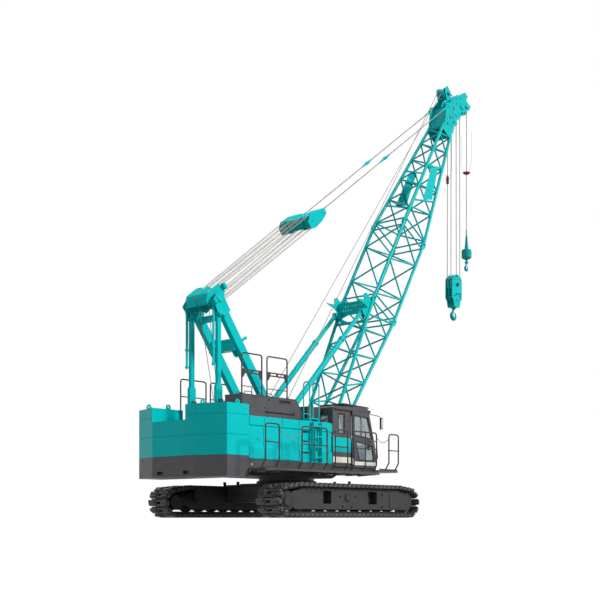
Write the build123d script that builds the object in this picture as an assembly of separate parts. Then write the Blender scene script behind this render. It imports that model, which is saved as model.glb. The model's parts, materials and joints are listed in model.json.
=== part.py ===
"""Crawler crane with a lattice boom, in named pieces that move.

Millimetres. X forward, Y to the machine's left, Z up; the slew axis is X = Y = 0 and the ground is Z = 0.
"""
import math
import os

from build123d import *

os.makedirs("parts", exist_ok=True)

# Tracks
GAUGE = 4030
SHOE_WIDTH = 800
TRACK_HALF_LENGTH = 2920
TRACK_END_RADIUS = 420
TRACK_TOP = 885
SHOE_COUNT = 64
SHOE_THICK = 75
LUG_DEPTH = 35
LINK_DEPTH = 60
LINK_WIDTH = 240
WHEEL_X = TRACK_HALF_LENGTH - TRACK_END_RADIUS
WHEEL_Z = TRACK_END_RADIUS
WHEEL_RADIUS = TRACK_END_RADIUS - LUG_DEPTH - SHOE_THICK - LINK_DEPTH - 20

# Upper works
HOUSE_SIDE = 1617
HOUSE_INNER = 760
HOUSE_REAR = -3120
HOUSE_FRONT = 30
HOUSE_BOTTOM = 1440
HOUSE_TOP = 2510
SILL_BOTTOM = 1180
FRAME_BOTTOM = 1080
FRAME_TOP = 1440
FRAME_HALF_WIDTH = 700
RING_RADIUS = 760
DECK_TOP = 1210
DECK_THICK = 50
DECK_EDGE = 2200
RAIL_Y = 2300
RAIL_RADIUS = 19

# Counterweight
WEIGHT_REAR = -4150
WEIGHT_CORNER_X = -3870
WEIGHT_CORNER_Y = 770
WEIGHT_BOTTOM = 1000
WEIGHT_LEVELS = (1520, 2020, 2515, 2770)
WEIGHT_WELL_TOP = 2400

# Cab
CAB_OUTER = 1617
CAB_INNER = FRAME_HALF_WIDTH + 5
CAB_SPLIT = 830
CAB_WALL = 60
CAB_PANE = 8
DOOR_GAP = 10
DOOR_PLATE = 40
APRON_THICK = 4
LEFT_WINDOW = ((300, 2050), (300, 2780), (1420, 2830), (1700, 2000), (1700, 1700), (900, 1700), (900, 2050))
UPPER_WINDOW = ((900, 2250), (900, 2775), (1500, 2740), (1690, 2170))
LOWER_WINDOW = ((975, 2080), (1690, 1985), (1770, 1575), (1125, 1575))
SIDE_WINDOW = (294, 545, 2258, 2790)
REAR_WINDOW = (2050, 2750)
CAB_OUTLINE = ((50, 1440), (50, 2940), (120, 2990), (1480, 3030), (1600, 2960), (1885, 2000), (1950, 1560),
               (1930, 1300), (50, 1300))

# Gantry
GANTRY_PIN = (-3100, 5480)
GANTRY_LOW_PIN = (-3070, 5120)
GANTRY_REAR_PIN = (-3235, 5395)
LINK_FOOT_Z = 2900
LINK_Y = 490
GANTRY_FOOT = (-415, 1800)
GANTRY_TOP = (-2900, 5220)
GANTRY_Y = 465
GANTRY_LEG_DEPTH = 240
GANTRY_LEG_WIDTH = 150
GANTRY_SHEAVES = (-350, -280, -210, -140, -70, 70, 140, 210, 280, 350)
GANTRY_SHEAVE_RADIUS = 200
GANTRY_HEAD = ((-3300, 5440), (-3200, 5600), (-3050, 5720), (-2950, 5715), (-2910, 5550), (-2800, 5390),
               (-2700, 5250), (-2890, 5060), (-3060, 5200), (-3290, 5320))
BRIDLE_AT = 4495

# Boom: distances run along the boom from its foot pin and off its axis, positive to the rear face
BOOM_FOOT = (950, 1580)
BOOM_ANGLE = 59.5
JOINT_LOW = 5330
JOINT_HIGH = 8330
BOOM_SHAPE = ((300, 555, 130), (5330, 585, 570), (8400, 585, 570), (12900, 255, 235))
LOWER_STOPS = (450, 950, 1450, 1920, 2350, 2920, 3370, 3830, 4250, 4700, 5210)
INSERT_STOPS = (5500, 6150, 6830, 7500, 8150)
TOP_STOPS = (8480, 8950, 9500, 9930, 10420, 10900, 11300, 11650, 12050, 12380, 12700)
CHORD_RADIUS = 50
LACING_RADIUS = 26
PENDANT_PIN = (13400, 420)
PENDANT_Y = 345
HEAD_CHEEK_Y = 300
HEAD_NOSE_Y = 140
BACKSTOP_PIN = (4720, 732)
BACKSTOP_FOOT = (-600, 2650)
BACKSTOP_Y = 490
TUBE_LENGTH = 3450
TUBE_BORE = 1900
TUBE_RADIUS = 82
ROD_LENGTH = 2350
ROD_RADIUS = 62
HORN_Y = (545, 573)

# Falls and hooks
MAIN_SHEAVE = (14010, -200)
MAIN_SHEAVE_RADIUS = 265
AUX_SHEAVE = (14460, -570)
AUX_SHEAVE_RADIUS = 230
GUIDE_SHEAVE = (14000, 450)
GUIDE_SHEAVE_RADIUS = 200
BLOCK_BOTTOM = 6970
BLOCK_SHEAVE_Z = 7720
HOOK_BOTTOM = 6540
BALL_Z = 8890
AUX_HOOK_BOTTOM = 8300
AUX_HOOK_SIZE = 1.0


def prism(points, push):
    """A flat outline of space points pushed along a vector."""
    return Solid.extrude(Face(Wire.make_polygon([Vector(*p) for p in points])), Vector(*push))


def side_plate(outline, y0, y1):
    """An outline of (x, z) points between two values of Y."""
    return prism([(x, y0, z) for x, z in outline], (0, y1 - y0, 0))


def top_plate(outline, z0, z1):
    """An outline of (x, y) points between two heights."""
    return prism([(x, y, z0) for x, y in outline], (0, 0, z1 - z0))


def front_plate(outline, x0, x1):
    """An outline of (y, z) points between two values of X."""
    return prism([(x0, y, z) for y, z in outline], (x1 - x0, 0, 0))


def block(x0, x1, y0, y1, z0, z1):
    """A box between two corners."""
    return top_plate([(x0, y0), (x1, y0), (x1, y1), (x0, y1)], z0, z1)


def bar(start, end, radius, sides=8):
    """A straight round-like bar with flat sides between two space points."""
    a, b = Vector(*start), Vector(*end)
    along = (b - a).normalized()
    first = along.cross(Vector(0, 1, 0))
    first = (first if first.length > 0.1 else along.cross(Vector(0, 0, 1))).normalized()
    second = along.cross(first)
    ring = []
    for k in range(sides):
        turn = 2 * math.pi * (k + 0.5) / sides
        ring.append(a + first * (radius * math.cos(turn)) + second * (radius * math.sin(turn)))
    return Solid.extrude(Face(Wire.make_polygon(ring)), b - a)


def bars(points, radius, sides=8):
    """Bars from point to point, in one list."""
    return [bar(points[k], points[k + 1], radius, sides) for k in range(len(points) - 1)]


def cross_disc(x, z, y0, y1, radius):
    """A round disc or pin across the machine."""
    return Solid.make_cylinder(radius, y1 - y0, Plane(origin=(x, y0, z), x_dir=(1, 0, 0), z_dir=(0, 1, 0)))


def post(x, y, z0, z1, radius):
    """An upright round piece."""
    return Solid.make_cylinder(radius, z1 - z0, Plane(origin=(x, y, z0)))


def cross_ring(x, z, y0, y1, outer, inner):
    """A disc across the machine with a round hole."""
    return cross_disc(x, z, y0, y1, outer) - cross_disc(x, z, y0 - 5, y1 + 5, inner)


def merge(*pieces):
    """Overlapping pieces joined to one solid."""
    made = pieces[0].fuse(*pieces[1:])
    return Compound(list(made)) if isinstance(made, (list, tuple)) else made


def cut(piece, *tools):
    """A piece with the tools taken away."""
    made = piece.cut(*tools)
    return Compound(list(made)) if isinstance(made, (list, tuple)) else made


def mirrored(piece):
    """The same piece on the machine's other side."""
    return piece.mirror(Plane.XZ)


def save(node, *pieces):
    """Write one node."""
    solids = [solid for piece in pieces for solid in piece.solids()]
    export_step(solids[0] if len(solids) == 1 else Compound(solids), f"parts/{node}.step")


def spot(along, off, y=0):
    """A space point from a distance along the boom and off its axis."""
    turn = math.radians(BOOM_ANGLE)
    return (BOOM_FOOT[0] + along * math.cos(turn) - off * math.sin(turn), y,
            BOOM_FOOT[1] + along * math.sin(turn) + off * math.cos(turn))


def boom_plate(outline, y0, y1):
    """An outline of (along, off) points on the boom between two values of Y."""
    return prism([spot(along, off, y0) for along, off in outline], (0, y1 - y0, 0))


def boom_disc(along, off, y0, y1, radius):
    """A pin or disc across the boom."""
    x, _, z = spot(along, off)
    return cross_disc(x, z, y0, y1, radius)


def shape_at(along):
    """Half width and half depth of the boom between its chords' centres."""
    for (s0, w0, d0), (s1, w1, d1) in zip(BOOM_SHAPE, BOOM_SHAPE[1:]):
        if along <= s1:
            part = (along - s0) / (s1 - s0)
            return w0 + (w1 - w0) * part, d0 + (d1 - d0) * part
    return BOOM_SHAPE[-1][1:]


def corner(along, side, face):
    """A point on one of the four chords."""
    width, depth = shape_at(along)
    return spot(along, face * depth, side * width)


def lattice(start, end, stops, first):
    """Chords and lacings of one boom section, as a list; first says which corners hold the first stop."""
    bends = [start] + [row[0] for row in BOOM_SHAPE if start < row[0] < end] + [end]
    pieces = []
    for side in (-1, 1):
        for face in (-1, 1):
            pieces += bars([corner(s, side, face) for s in bends], CHORD_RADIUS)
    for k, (s0, s1) in enumerate(zip(stops, stops[1:])):
        flip = -first if k % 2 else first
        for side in (-1, 1):
            pieces.append(bar(corner(s0, side, -side * flip), corner(s1, side, side * flip), LACING_RADIUS, 6))
        for face in (-1, 1):
            pieces.append(bar(corner(s0, -face * flip, face), corner(s1, face * flip, face), LACING_RADIUS, 6))
    for s in (stops[0] - 30, stops[-1] + 30):
        for side in (-1, 1):
            pieces.append(bar(corner(s, side, 1), corner(s, side, -1), LACING_RADIUS, 6))
        for face in (-1, 1):
            pieces.append(bar(corner(s, 1, face), corner(s, -1, face), LACING_RADIUS, 6))
    return pieces


def sleeves(joint):
    """Pin lugs round the four chords where two sections meet."""
    made = []
    for side in (-1, 1):
        for face in (-1, 1):
            width, depth = shape_at(joint)
            y, off = side * width, face * depth
            for dy in (-34, 14):
                ear = boom_plate([(joint - 130, off - 60), (joint - 130, off + 60), (joint - 60, off + 85),
                                  (joint - 4, off + 85), (joint - 4, off - 85), (joint - 60, off - 85)], y + dy,
                                 y + dy + 20)
                made.append(ear)
            made.append(boom_plate([(joint + 4, off - 75), (joint + 4, off + 75), (joint + 60, off + 75),
                                    (joint + 130, off + 55), (joint + 130, off - 55), (joint + 60, off - 75)],
                                   y - 12, y + 12))
    return made


def track_path(count, out):
    """Points at even steps round the track's centre path, each pushed outwards by out."""
    radius = TRACK_END_RADIUS - LUG_DEPTH - SHOE_THICK
    low, high = WHEEL_Z - radius, TRACK_TOP - LUG_DEPTH - SHOE_THICK
    corners = [(-WHEEL_X, low), (WHEEL_X, low)]
    for k in range(1, 12):
        turn = math.radians(-90 + 15 * k)
        corners.append((WHEEL_X + radius * math.cos(turn), WHEEL_Z + radius * math.sin(turn)))
    corners += [(WHEEL_X - 40, WHEEL_Z + radius), (2050, high), (-2050, high), (-WHEEL_X + 40, WHEEL_Z + radius)]
    for k in range(1, 12):
        turn = math.radians(90 + 15 * k)
        corners.append((-WHEEL_X + radius * math.cos(turn), WHEEL_Z + radius * math.sin(turn)))
    legs = list(zip(corners, corners[1:] + corners[:1]))
    lengths = [math.dist(a, b) for a, b in legs]
    step, spots = sum(lengths) / count, []
    for k in range(count):
        left, row = k * step, 0
        while left > lengths[row]:
            left, row = left - lengths[row], row + 1
        (x0, z0), (x1, z1) = legs[row]
        part = left / lengths[row]
        along = ((x1 - x0) / lengths[row], (z1 - z0) / lengths[row])
        spots.append((x0 + (x1 - x0) * part + along[1] * out, z0 + (z1 - z0) * part - along[0] * out))
    return spots


def track_loop():
    """One closed track with its shoes and lugs in the outline."""
    steps = [(0.04, SHOE_THICK * 0.35), (0.10, SHOE_THICK), (0.34, SHOE_THICK), (0.38, SHOE_THICK + LUG_DEPTH),
             (0.56, SHOE_THICK + LUG_DEPTH), (0.60, SHOE_THICK), (0.90, SHOE_THICK), (0.96, SHOE_THICK * 0.35)]
    fine = 50
    rings = {out: track_path(SHOE_COUNT * fine, out) for out in {row[1] for row in steps}}
    outline = []
    for shoe in range(SHOE_COUNT):
        for part, out in steps:
            outline.append(rings[out][shoe * fine + round(part * fine)])
    inside = track_path(SHOE_COUNT, 0)
    links = track_path(SHOE_COUNT, -LINK_DEPTH)
    y0 = GAUGE / 2 - SHOE_WIDTH / 2
    shoes = side_plate(outline, y0, y0 + SHOE_WIDTH) - side_plate(inside, y0 - 5, y0 + SHOE_WIDTH + 5)
    mid = GAUGE / 2 - LINK_WIDTH / 2
    band = side_plate(track_path(SHOE_COUNT, 10), mid, mid + LINK_WIDTH) - side_plate(links, mid - 5,
                                                                                      mid + LINK_WIDTH + 5)
    return merge(shoes, band)


def undercarriage():
    """Car body, track frames, tracks and their wheels."""
    loop = track_loop()
    save("track_loop_left", loop)
    save("track_loop_right", mirrored(loop))
    mid = GAUGE / 2
    frame_low, frame_high = 235, 690
    outline = [(-2060, 300), (-1960, frame_low), (2000, frame_low), (2150, 320), (2150, 600), (2000, frame_high),
               (-1960, frame_high), (-2060, 620)]
    shell = side_plate(outline, mid - 250, mid + 230)
    skin = side_plate([(-2280, 300), (-2190, 214), (2560, 214), (2700, 320), (2700, 540), (2600, 660),
                       (2250, 690), (2050, 745), (-1900, 745), (-2060, 690), (-2280, 660)], mid + 225, mid + 262)
    windows = [block(x0, x1, mid + 60, mid + 300, z0, z1) for x0, x1, z0, z1 in
               ((-1122, -787, 360, 690), (723, 1114, 360, 690))]
    hub = cross_disc(-119, 533, mid + 250, mid + 290, 115)
    panel = block(1670, 2175, mid + 255, mid + 275, 255, 640)
    fork_rear = block(-WHEEL_X - 60, -2040, mid + 170, mid + 250, 330, 560)
    fork_front = [block(2140, WHEEL_X + 90, mid + y - 35, mid + y + 35, 340, 520) for y in (-215, 215)]
    motor = cross_disc(-WHEEL_X, WHEEL_Z, mid + 170, mid + 310, 238)
    motor_cap = cross_disc(-WHEEL_X, WHEEL_Z, mid + 300, mid + 345, 150)
    motor_inner = cross_disc(-WHEEL_X, WHEEL_Z, mid - 300, mid - 100, 190)
    motor_arm = block(-WHEEL_X - 60, -2040, mid - 250, mid - 170, 330, 560)
    frame = merge(cut(merge(shell, skin), *windows), hub, panel, fork_rear, *fork_front, motor, motor_cap,
                  motor_inner, motor_arm)
    save("track_frames", frame, mirrored(frame))
    sprocket = merge(cross_disc(-WHEEL_X, WHEEL_Z, mid - 55, mid + 55, WHEEL_RADIUS),
                     cross_disc(-WHEEL_X, WHEEL_Z, mid - 100, mid + 170, 150))
    save("sprockets", sprocket, mirrored(sprocket))
    idler = merge(cross_disc(WHEEL_X, WHEEL_Z, mid - 110, mid + 110, WHEEL_RADIUS),
                  cross_disc(WHEEL_X, WHEEL_Z, mid - 180, mid + 180, 70))
    save("idlers", idler, mirrored(idler))
    rollers = []
    link_top = LUG_DEPTH + SHOE_THICK + LINK_DEPTH
    for k in range(9):
        x = -1900 + 3800 * k / 8
        rollers.append(cross_disc(x, frame_low, mid - 130, mid + 130, frame_low - link_top))
    save("track_rollers", *[cut(r, shell) for r in rollers], *[mirrored(cut(r, shell)) for r in rollers])
    body = block(-900, 900, -900, 900, 420, 930)
    inner = mid - 250
    beams = [block(x0, x1, -y, y, 450, z) for x0, x1 in ((-850, -420), (420, 850))
             for y, z in ((inner, 680), (1560, 850))]
    ends = [block(x0, x1, y0, y1, 390, 870) for x0, x1 in ((-1970, -520), (520, 1970))
            for y0, y1 in ((-1590, -1450), (1450, 1590))]
    webs = [block(x0, x1, y0, y1, 420, 780) for x0, x1 in ((-850, -800), (800, 850))
            for y0, y1 in ((-1500, -880), (880, 1500))]
    lugs = [block(x - 45, x + 45, y - 14, y + 14, 900, 990) for x in (-900, 900)
            for y in (-1500, -980, 980, 1500)]
    shelf = [block(x - 60, x + 60, y0, y1, 845, 905) for x in (-860, 860)
             for y0, y1 in ((-1530, -950), (950, 1530))]
    ring = post(0, 0, 900, 1002.5, RING_RADIUS + 60)
    save("carbody", merge(body, *beams, *ends, *webs, *shelf, *lugs, ring))


WEIGHT_EYES = ((-3300, -1400), (-3800, -700), (-3550, 850), (-3900, 1190))
SEAM_GAP = 12
EYE_BORE = 28
EYE_THICK = 30


def weight_plan(front, inset=0):
    """The counterweight's outline from above, drawn in by an inset."""
    side, rear, slant = HOUSE_SIDE - inset, WEIGHT_REAR + inset, WEIGHT_CORNER_X + inset / 2
    return [(front, -side), (slant, -side), (rear, -WEIGHT_CORNER_Y), (rear, WEIGHT_CORNER_Y), (slant, side),
            (front, side)]


def weight_slab(low, high):
    """One slab with a narrow step under its top edge that leaves a visible seam."""
    return merge(top_plate(weight_plan(HOUSE_REAR), low, high - SEAM_GAP),
                 top_plate(weight_plan(HOUSE_REAR, SEAM_GAP), low + 5, high))


def counterweight():
    """Stacked slabs of the counterweight with their lifting eyes."""
    z1, z2, z3, z4 = WEIGHT_LEVELS
    slots = [block(WEIGHT_REAR - 20, WEIGHT_REAR + 90, y - 110, y + 110, WEIGHT_BOTTOM + 60, WEIGHT_BOTTOM + 150)
             for y in (-480, 480)]
    save("counterweight_base", cut(weight_slab(WEIGHT_BOTTOM, z1), *slots))
    save("counterweight_lower_slab", weight_slab(z1, z2))
    well = block(WEIGHT_REAR - 50, HOUSE_REAR + 50, -450, WEIGHT_CORNER_Y, WEIGHT_WELL_TOP, z4)
    save("counterweight_upper_slab", cut(weight_slab(z2, z3), well))
    right = top_plate([(HOUSE_REAR, -HOUSE_SIDE), (WEIGHT_CORNER_X, -HOUSE_SIDE), (WEIGHT_REAR, -WEIGHT_CORNER_Y),
                       (WEIGHT_REAR, -450), (HOUSE_REAR, -450)], z3, z4)
    left = top_plate([(HOUSE_REAR, WEIGHT_CORNER_Y), (WEIGHT_REAR, WEIGHT_CORNER_Y),
                      (WEIGHT_CORNER_X, HOUSE_SIDE), (HOUSE_REAR, HOUSE_SIDE)], z3, z4)
    eyes = []
    for x, y in WEIGHT_EYES:
        y0, y1 = y - EYE_THICK / 2, y + EYE_THICK / 2
        ear = merge(block(x - 70, x + 70, y0, y1, z4 - 5, z4 + 60), cross_disc(x, z4 + 60, y0, y1, 70))
        eyes.append(cut(ear, cross_disc(x, z4 + 70, y0 - 5, y1 + 5, EYE_BORE)))
    save("counterweight_top_blocks", merge(right, *eyes[:2]), merge(left, *eyes[2:]))


HOUSE_SEAMS = (-3110, -2577, -1931, -1269)
DOOR_NAMES = ("house_door_rear", "house_door_middle", "house_door_front")
DOOR_THICK = 60
PANEL_LOW = 1740
PANEL_HIGH = 2280
PANEL_DEPTH = 26
ENGINE_BOX = (-2800, -1400, -1500, -860, 1440, 2400)
CAB_FRONT = 1930
CAB_FLOOR = 1300
LEFT_FRONT = 1150
DECK_FRONT = 2150
DECK_STEP = 1330
FRONT_DECK_TOP = 1290
LADDER_X = (-830, -500)
LADDER_STEPS = (1560, 1830, 2100, 2370)


def side_band(x0, x1):
    """The sunk middle band of a house side, as a tool that is cut away on the right."""
    face = -HOUSE_SIDE
    return prism([(x0, face - 5, PANEL_LOW - 5), (x0, face + PANEL_DEPTH, PANEL_LOW + 20),
                  (x0, face + PANEL_DEPTH, PANEL_HIGH - 20), (x0, face - 5, PANEL_HIGH + 5)], (x1 - x0, 0, 0))


def round_top(x0, x1, y0, y1, z0, z1, radius):
    """A box with its top front corner rounded."""
    turns = [math.radians(15 * k) for k in range(7)]
    curve = [(x1 - radius + radius * math.cos(turn), z1 - radius + radius * math.sin(turn)) for turn in turns]
    return side_plate([(x0, z0), (x1, z0)] + curve + [(x0, z1)], y0, y1)


def house_and_frame():
    """Revolving frame, machinery houses, hood, engine, winches and walkways."""
    foot_x, foot_z = BOOM_FOOT
    plates = []
    for side in (-1, 1):
        for y0, y1 in ((440, 500), (610, 670)):
            y0, y1 = sorted((side * y0, side * y1))
            plates.append(side_plate([(600, 1400), (1200, 1400), (1080, 1680), (820, 1680)], y0, y1))
        for y0, y1 in ((GANTRY_Y - 115, GANTRY_Y - 79), (GANTRY_Y + 79, GANTRY_Y + 115)):
            y0, y1 = sorted((side * y0, side * y1))
            plates.append(side_plate([(-760, 1400), (-100, 1400), (-270, 1920), (-560, 1920)], y0, y1))
        for y0, y1 in ((LINK_Y - 85, LINK_Y - 55), (LINK_Y + 55, LINK_Y + 85)):
            y0, y1 = sorted((side * y0, side * y1))
            plates.append(block(-3110, -2980, y0, y1, 1400, LINK_FOOT_Z + 90))
        y0, y1 = sorted((side * 440, side * 670))
        plates.append(cross_disc(foot_x, foot_z, y0, y1, 45))
    for x0 in HOUSE_SEAMS[:3]:
        plates.append(post(x0 + 5 + DOOR_THICK / 2, -HOUSE_SIDE + DOOR_THICK / 2, HOUSE_BOTTOM - 20,
                           HOUSE_BOTTOM + 55, 8))
    nose = side_plate([(700, 1090), (1120, 1090), (1320, 1180), (1300, 1440), (700, 1440)], -FRAME_HALF_WIDTH,
                      FRAME_HALF_WIDTH)
    frame = merge(
        block(-3115, 900, -FRAME_HALF_WIDTH, FRAME_HALF_WIDTH, FRAME_BOTTOM, FRAME_TOP), nose,
        post(0, 0, 1003, FRAME_BOTTOM + 10, RING_RADIUS),
        block(-3115, CAB_FRONT, -HOUSE_SIDE, -FRAME_HALF_WIDTH + 10, SILL_BOTTOM, CAB_FLOOR),
        block(-3115, HOUSE_FRONT, -HOUSE_SIDE, -FRAME_HALF_WIDTH + 10, SILL_BOTTOM, HOUSE_BOTTOM),
        block(-3115, LEFT_FRONT, FRAME_HALF_WIDTH - 10, HOUSE_SIDE, SILL_BOTTOM, HOUSE_BOTTOM), *plates)
    engine_bay = block(*ENGINE_BOX[:4], HOUSE_BOTTOM, ENGINE_BOX[5])
    save("upper_frame", frame)

    shell = round_top(HOUSE_REAR + 10, HOUSE_FRONT, -HOUSE_SIDE + DOOR_THICK + 6, -HOUSE_INNER, HOUSE_BOTTOM,
                      HOUSE_TOP, 75)
    front_skin = round_top(HOUSE_SEAMS[3] + 5, HOUSE_FRONT, -HOUSE_SIDE, -HOUSE_SIDE + DOOR_THICK + 10,
                           HOUSE_BOTTOM, HOUSE_TOP, 75)
    front_skin = cut(front_skin, side_band(HOUSE_SEAMS[3], HOUSE_FRONT + 10))
    apron = side_plate([(65, 1445), (818, 1445), (818, 2100), (768, 2150), (65, 2150)], -CAB_OUTER - APRON_THICK,
                       -CAB_OUTER)
    save("house_right", cut(merge(shell, front_skin), engine_bay), apron)
    save("engine", engine_bay)
    left = cut(block(HOUSE_REAR + 10, LEFT_FRONT, HOUSE_INNER, HOUSE_SIDE, HOUSE_BOTTOM, HOUSE_TOP),
               mirrored(side_band(HOUSE_REAR, LEFT_FRONT + 10)))
    save("house_left", left)
    for name, x0, x1 in zip(DOOR_NAMES, HOUSE_SEAMS, HOUSE_SEAMS[1:]):
        half = DOOR_THICK / 2
        axis_x, axis_y = x0 + 5 + half, -HOUSE_SIDE + half
        edge = [(axis_x - half * math.sin(turn), axis_y + half * math.cos(turn))
                for turn in [math.pi * k / 8 for k in range(9)]]
        door = top_plate(edge + [(x1 - 5, axis_y - half), (x1 - 5, axis_y + half)], HOUSE_BOTTOM + 15,
                         HOUSE_TOP - 15)
        save(name, cut(door, post(axis_x, axis_y, HOUSE_BOTTOM, HOUSE_BOTTOM + 60, 8.3), side_band(x0, x1)))

    hood = side_plate([(-3100, HOUSE_TOP), (-3100, 3060), (-1120, 3060), (-840, 2720), (-840, HOUSE_TOP)], -1360,
                      -HOUSE_INNER)
    air_box = block(-560, -10, -1250, -HOUSE_INNER, HOUSE_TOP, 2940)
    lip = side_plate([(-3110, 3045), (-3110, 3062), (-1115, 3062), (-1135, 3045)], -1368, -HOUSE_INNER)
    save("engine_hood", merge(hood, lip), air_box)
    save("ladder", *ladder())

    drums = []
    for x, radius in ((-560, 200), (-1620, 200), (-2300, 180)):
        drums.append(merge(cross_disc(x, 1850, -222, 222, radius), cross_disc(x, 1850, -250, -220, radius + 80),
                           cross_disc(x, 1850, 220, 250, radius + 80),
                           *[block(x - 60, x + 60, y, y + 40, FRAME_TOP, 1900) for y in (-285, 245)]))
    save("winch_drums", *drums)

    low, high = DECK_TOP - DECK_THICK, FRONT_DECK_TOP - DECK_THICK
    right_deck = side_plate([(-3150, low), (DECK_STEP, low), (DECK_STEP, high), (DECK_FRONT, high),
                             (DECK_FRONT, FRONT_DECK_TOP), (DECK_STEP - DECK_THICK, FRONT_DECK_TOP),
                             (DECK_STEP - DECK_THICK, DECK_TOP), (-3150, DECK_TOP)], -DECK_EDGE, -HOUSE_SIDE)
    front_deck = block(CAB_FRONT, DECK_FRONT, -HOUSE_SIDE - 10, -700, high, FRONT_DECK_TOP)
    left_deck = block(-3150, LEFT_FRONT, HOUSE_SIDE, DECK_EDGE, low, DECK_TOP)
    save("walkways", merge(right_deck, front_deck), left_deck)
    save("handrails", *rails(), *roof_rails())


RAIL_BAYS = ((-3250, -2770, 0), (-1940, -980, 1), (-650, -150, 0), (110, 1070, 1))
FRONT_BAY = (1620, 2050, 0)
RAIL_TOP = 2270
RAIL_MID = 1830
HOOP_TOP = 4070
HOOP_Y = -1330
HOOPS = ((-3080, -2370), (-2180, -1430))
LEFT_HOOPS = ((-3080, -2180), (-2020, -1100))


def hoop(x0, x1, y, low, high, bend=70, radius=RAIL_RADIUS):
    """Two posts and a top rail with bent corners, as a list of bars."""
    near = bend * 0.3
    return bars([(x0, y, low), (x0, y, high - bend), (x0 + near, y, high - near), (x0 + bend, y, high),
                 (x1 - bend, y, high), (x1 - near, y, high - near), (x1, y, high - bend), (x1, y, low)], radius,
                6)


def ladder():
    """Steps up the house's right side with two hand hoops above them."""
    x0, x1 = LADDER_X
    side = -HOUSE_SIDE
    steps = [block(x0 - 10, x1 + 10, side - 110, side - 85, z, z + 30) for z in LADDER_STEPS]
    rungs = merge(*[block(x, x + 20, side - 112, side, 1455, 2480) for x in (x0 - 10, x1 - 10)], *steps)
    hoops = []
    for x in (x0 - 20, x1 + 20):
        hoops.append(merge(*bars([(x, -1595, HOUSE_TOP), (x, -1595, 3440), (x, -1530, 3540), (x, -1450, 3540),
                                  (x, -1385, 3440), (x, -1385, HOUSE_TOP)], 17, 6)))
    tread = block(x0 + 2, x1 - 2, -1600, -1400, HOUSE_TOP + 60, HOUSE_TOP + 85)
    legs = [block(x, x + 12, -1600, -1400, HOUSE_TOP, HOUSE_TOP + 65) for x in (x0 + 2, x1 - 14)]
    return [rungs, *hoops, merge(tread, *legs)]


def roof_rails():
    """Hoops on the hood with slotted plates at mid height, and rails over the left house."""
    sets = []
    for x0, x1 in HOOPS:
        plate = side_plate([(x0, 3440), (x0, 3680), (x1, 3680), (x1, 3440), (x1 - 110, 3560), (x0 + 110, 3560)],
                           HOOP_Y - 5, HOOP_Y + 5)
        middle = (x0 + x1) / 2
        slots = [block(a, b, HOOP_Y - 10, HOOP_Y + 10, 3595, 3645) for a, b in ((x0 + 130, middle - 35),
                                                                                (middle + 35, x1 - 130))]
        low = [bar((x0, HOOP_Y, 3250), (x1, HOOP_Y, 3250), 11, 6), bar((middle, HOOP_Y, 3062),
                                                                       (middle, HOOP_Y, 3255), 11, 6)]
        sets.append(merge(*hoop(x0, x1, HOOP_Y, 3062, HOOP_TOP), cut(plate, *slots), *low))
    for x0, x1 in LEFT_HOOPS:
        sets.append(merge(*hoop(x0, x1, 900, HOUSE_TOP, 3600), bar((x0, 900, 3150), (x1, 900, 3150), 16, 6)))
    return sets


def rails():
    """Guard rails along both walkways, with feet bent in to the deck."""
    sets = []
    for side, bays in ((-1, RAIL_BAYS + (FRONT_BAY,)), (1, RAIL_BAYS)):
        for x0, x1, post_in in bays:
            y, foot_y = side * RAIL_Y, side * (DECK_EDGE - 30)
            floor = FRONT_DECK_TOP if side < 0 and x0 > DECK_STEP else DECK_TOP
            pieces = hoop(x0, x1, y, floor + 190, RAIL_TOP)
            for x in (x0, x1):
                pieces += bars([(x, y, floor + 195), (x, foot_y, floor - 20)], RAIL_RADIUS, 6)
            pieces.append(bar((x0, y, RAIL_MID), (x1, y, RAIL_MID), RAIL_RADIUS - 4, 6))
            if post_in:
                middle = (x0 + x1) / 2
                pieces.append(bar((middle, y, floor + 250), (middle, y, RAIL_TOP), RAIL_RADIUS - 4, 6))
                pieces.append(bar((x0, y, floor + 250), (x1, y, floor + 250), RAIL_RADIUS - 4, 6))
            deck = block(x0 - 400, x1 + 400, side * DECK_EDGE - 700, side * DECK_EDGE + 700, DECK_TOP - 100,
                         floor)
            sets.append(cut(merge(*pieces), deck))
    return sets


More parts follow.
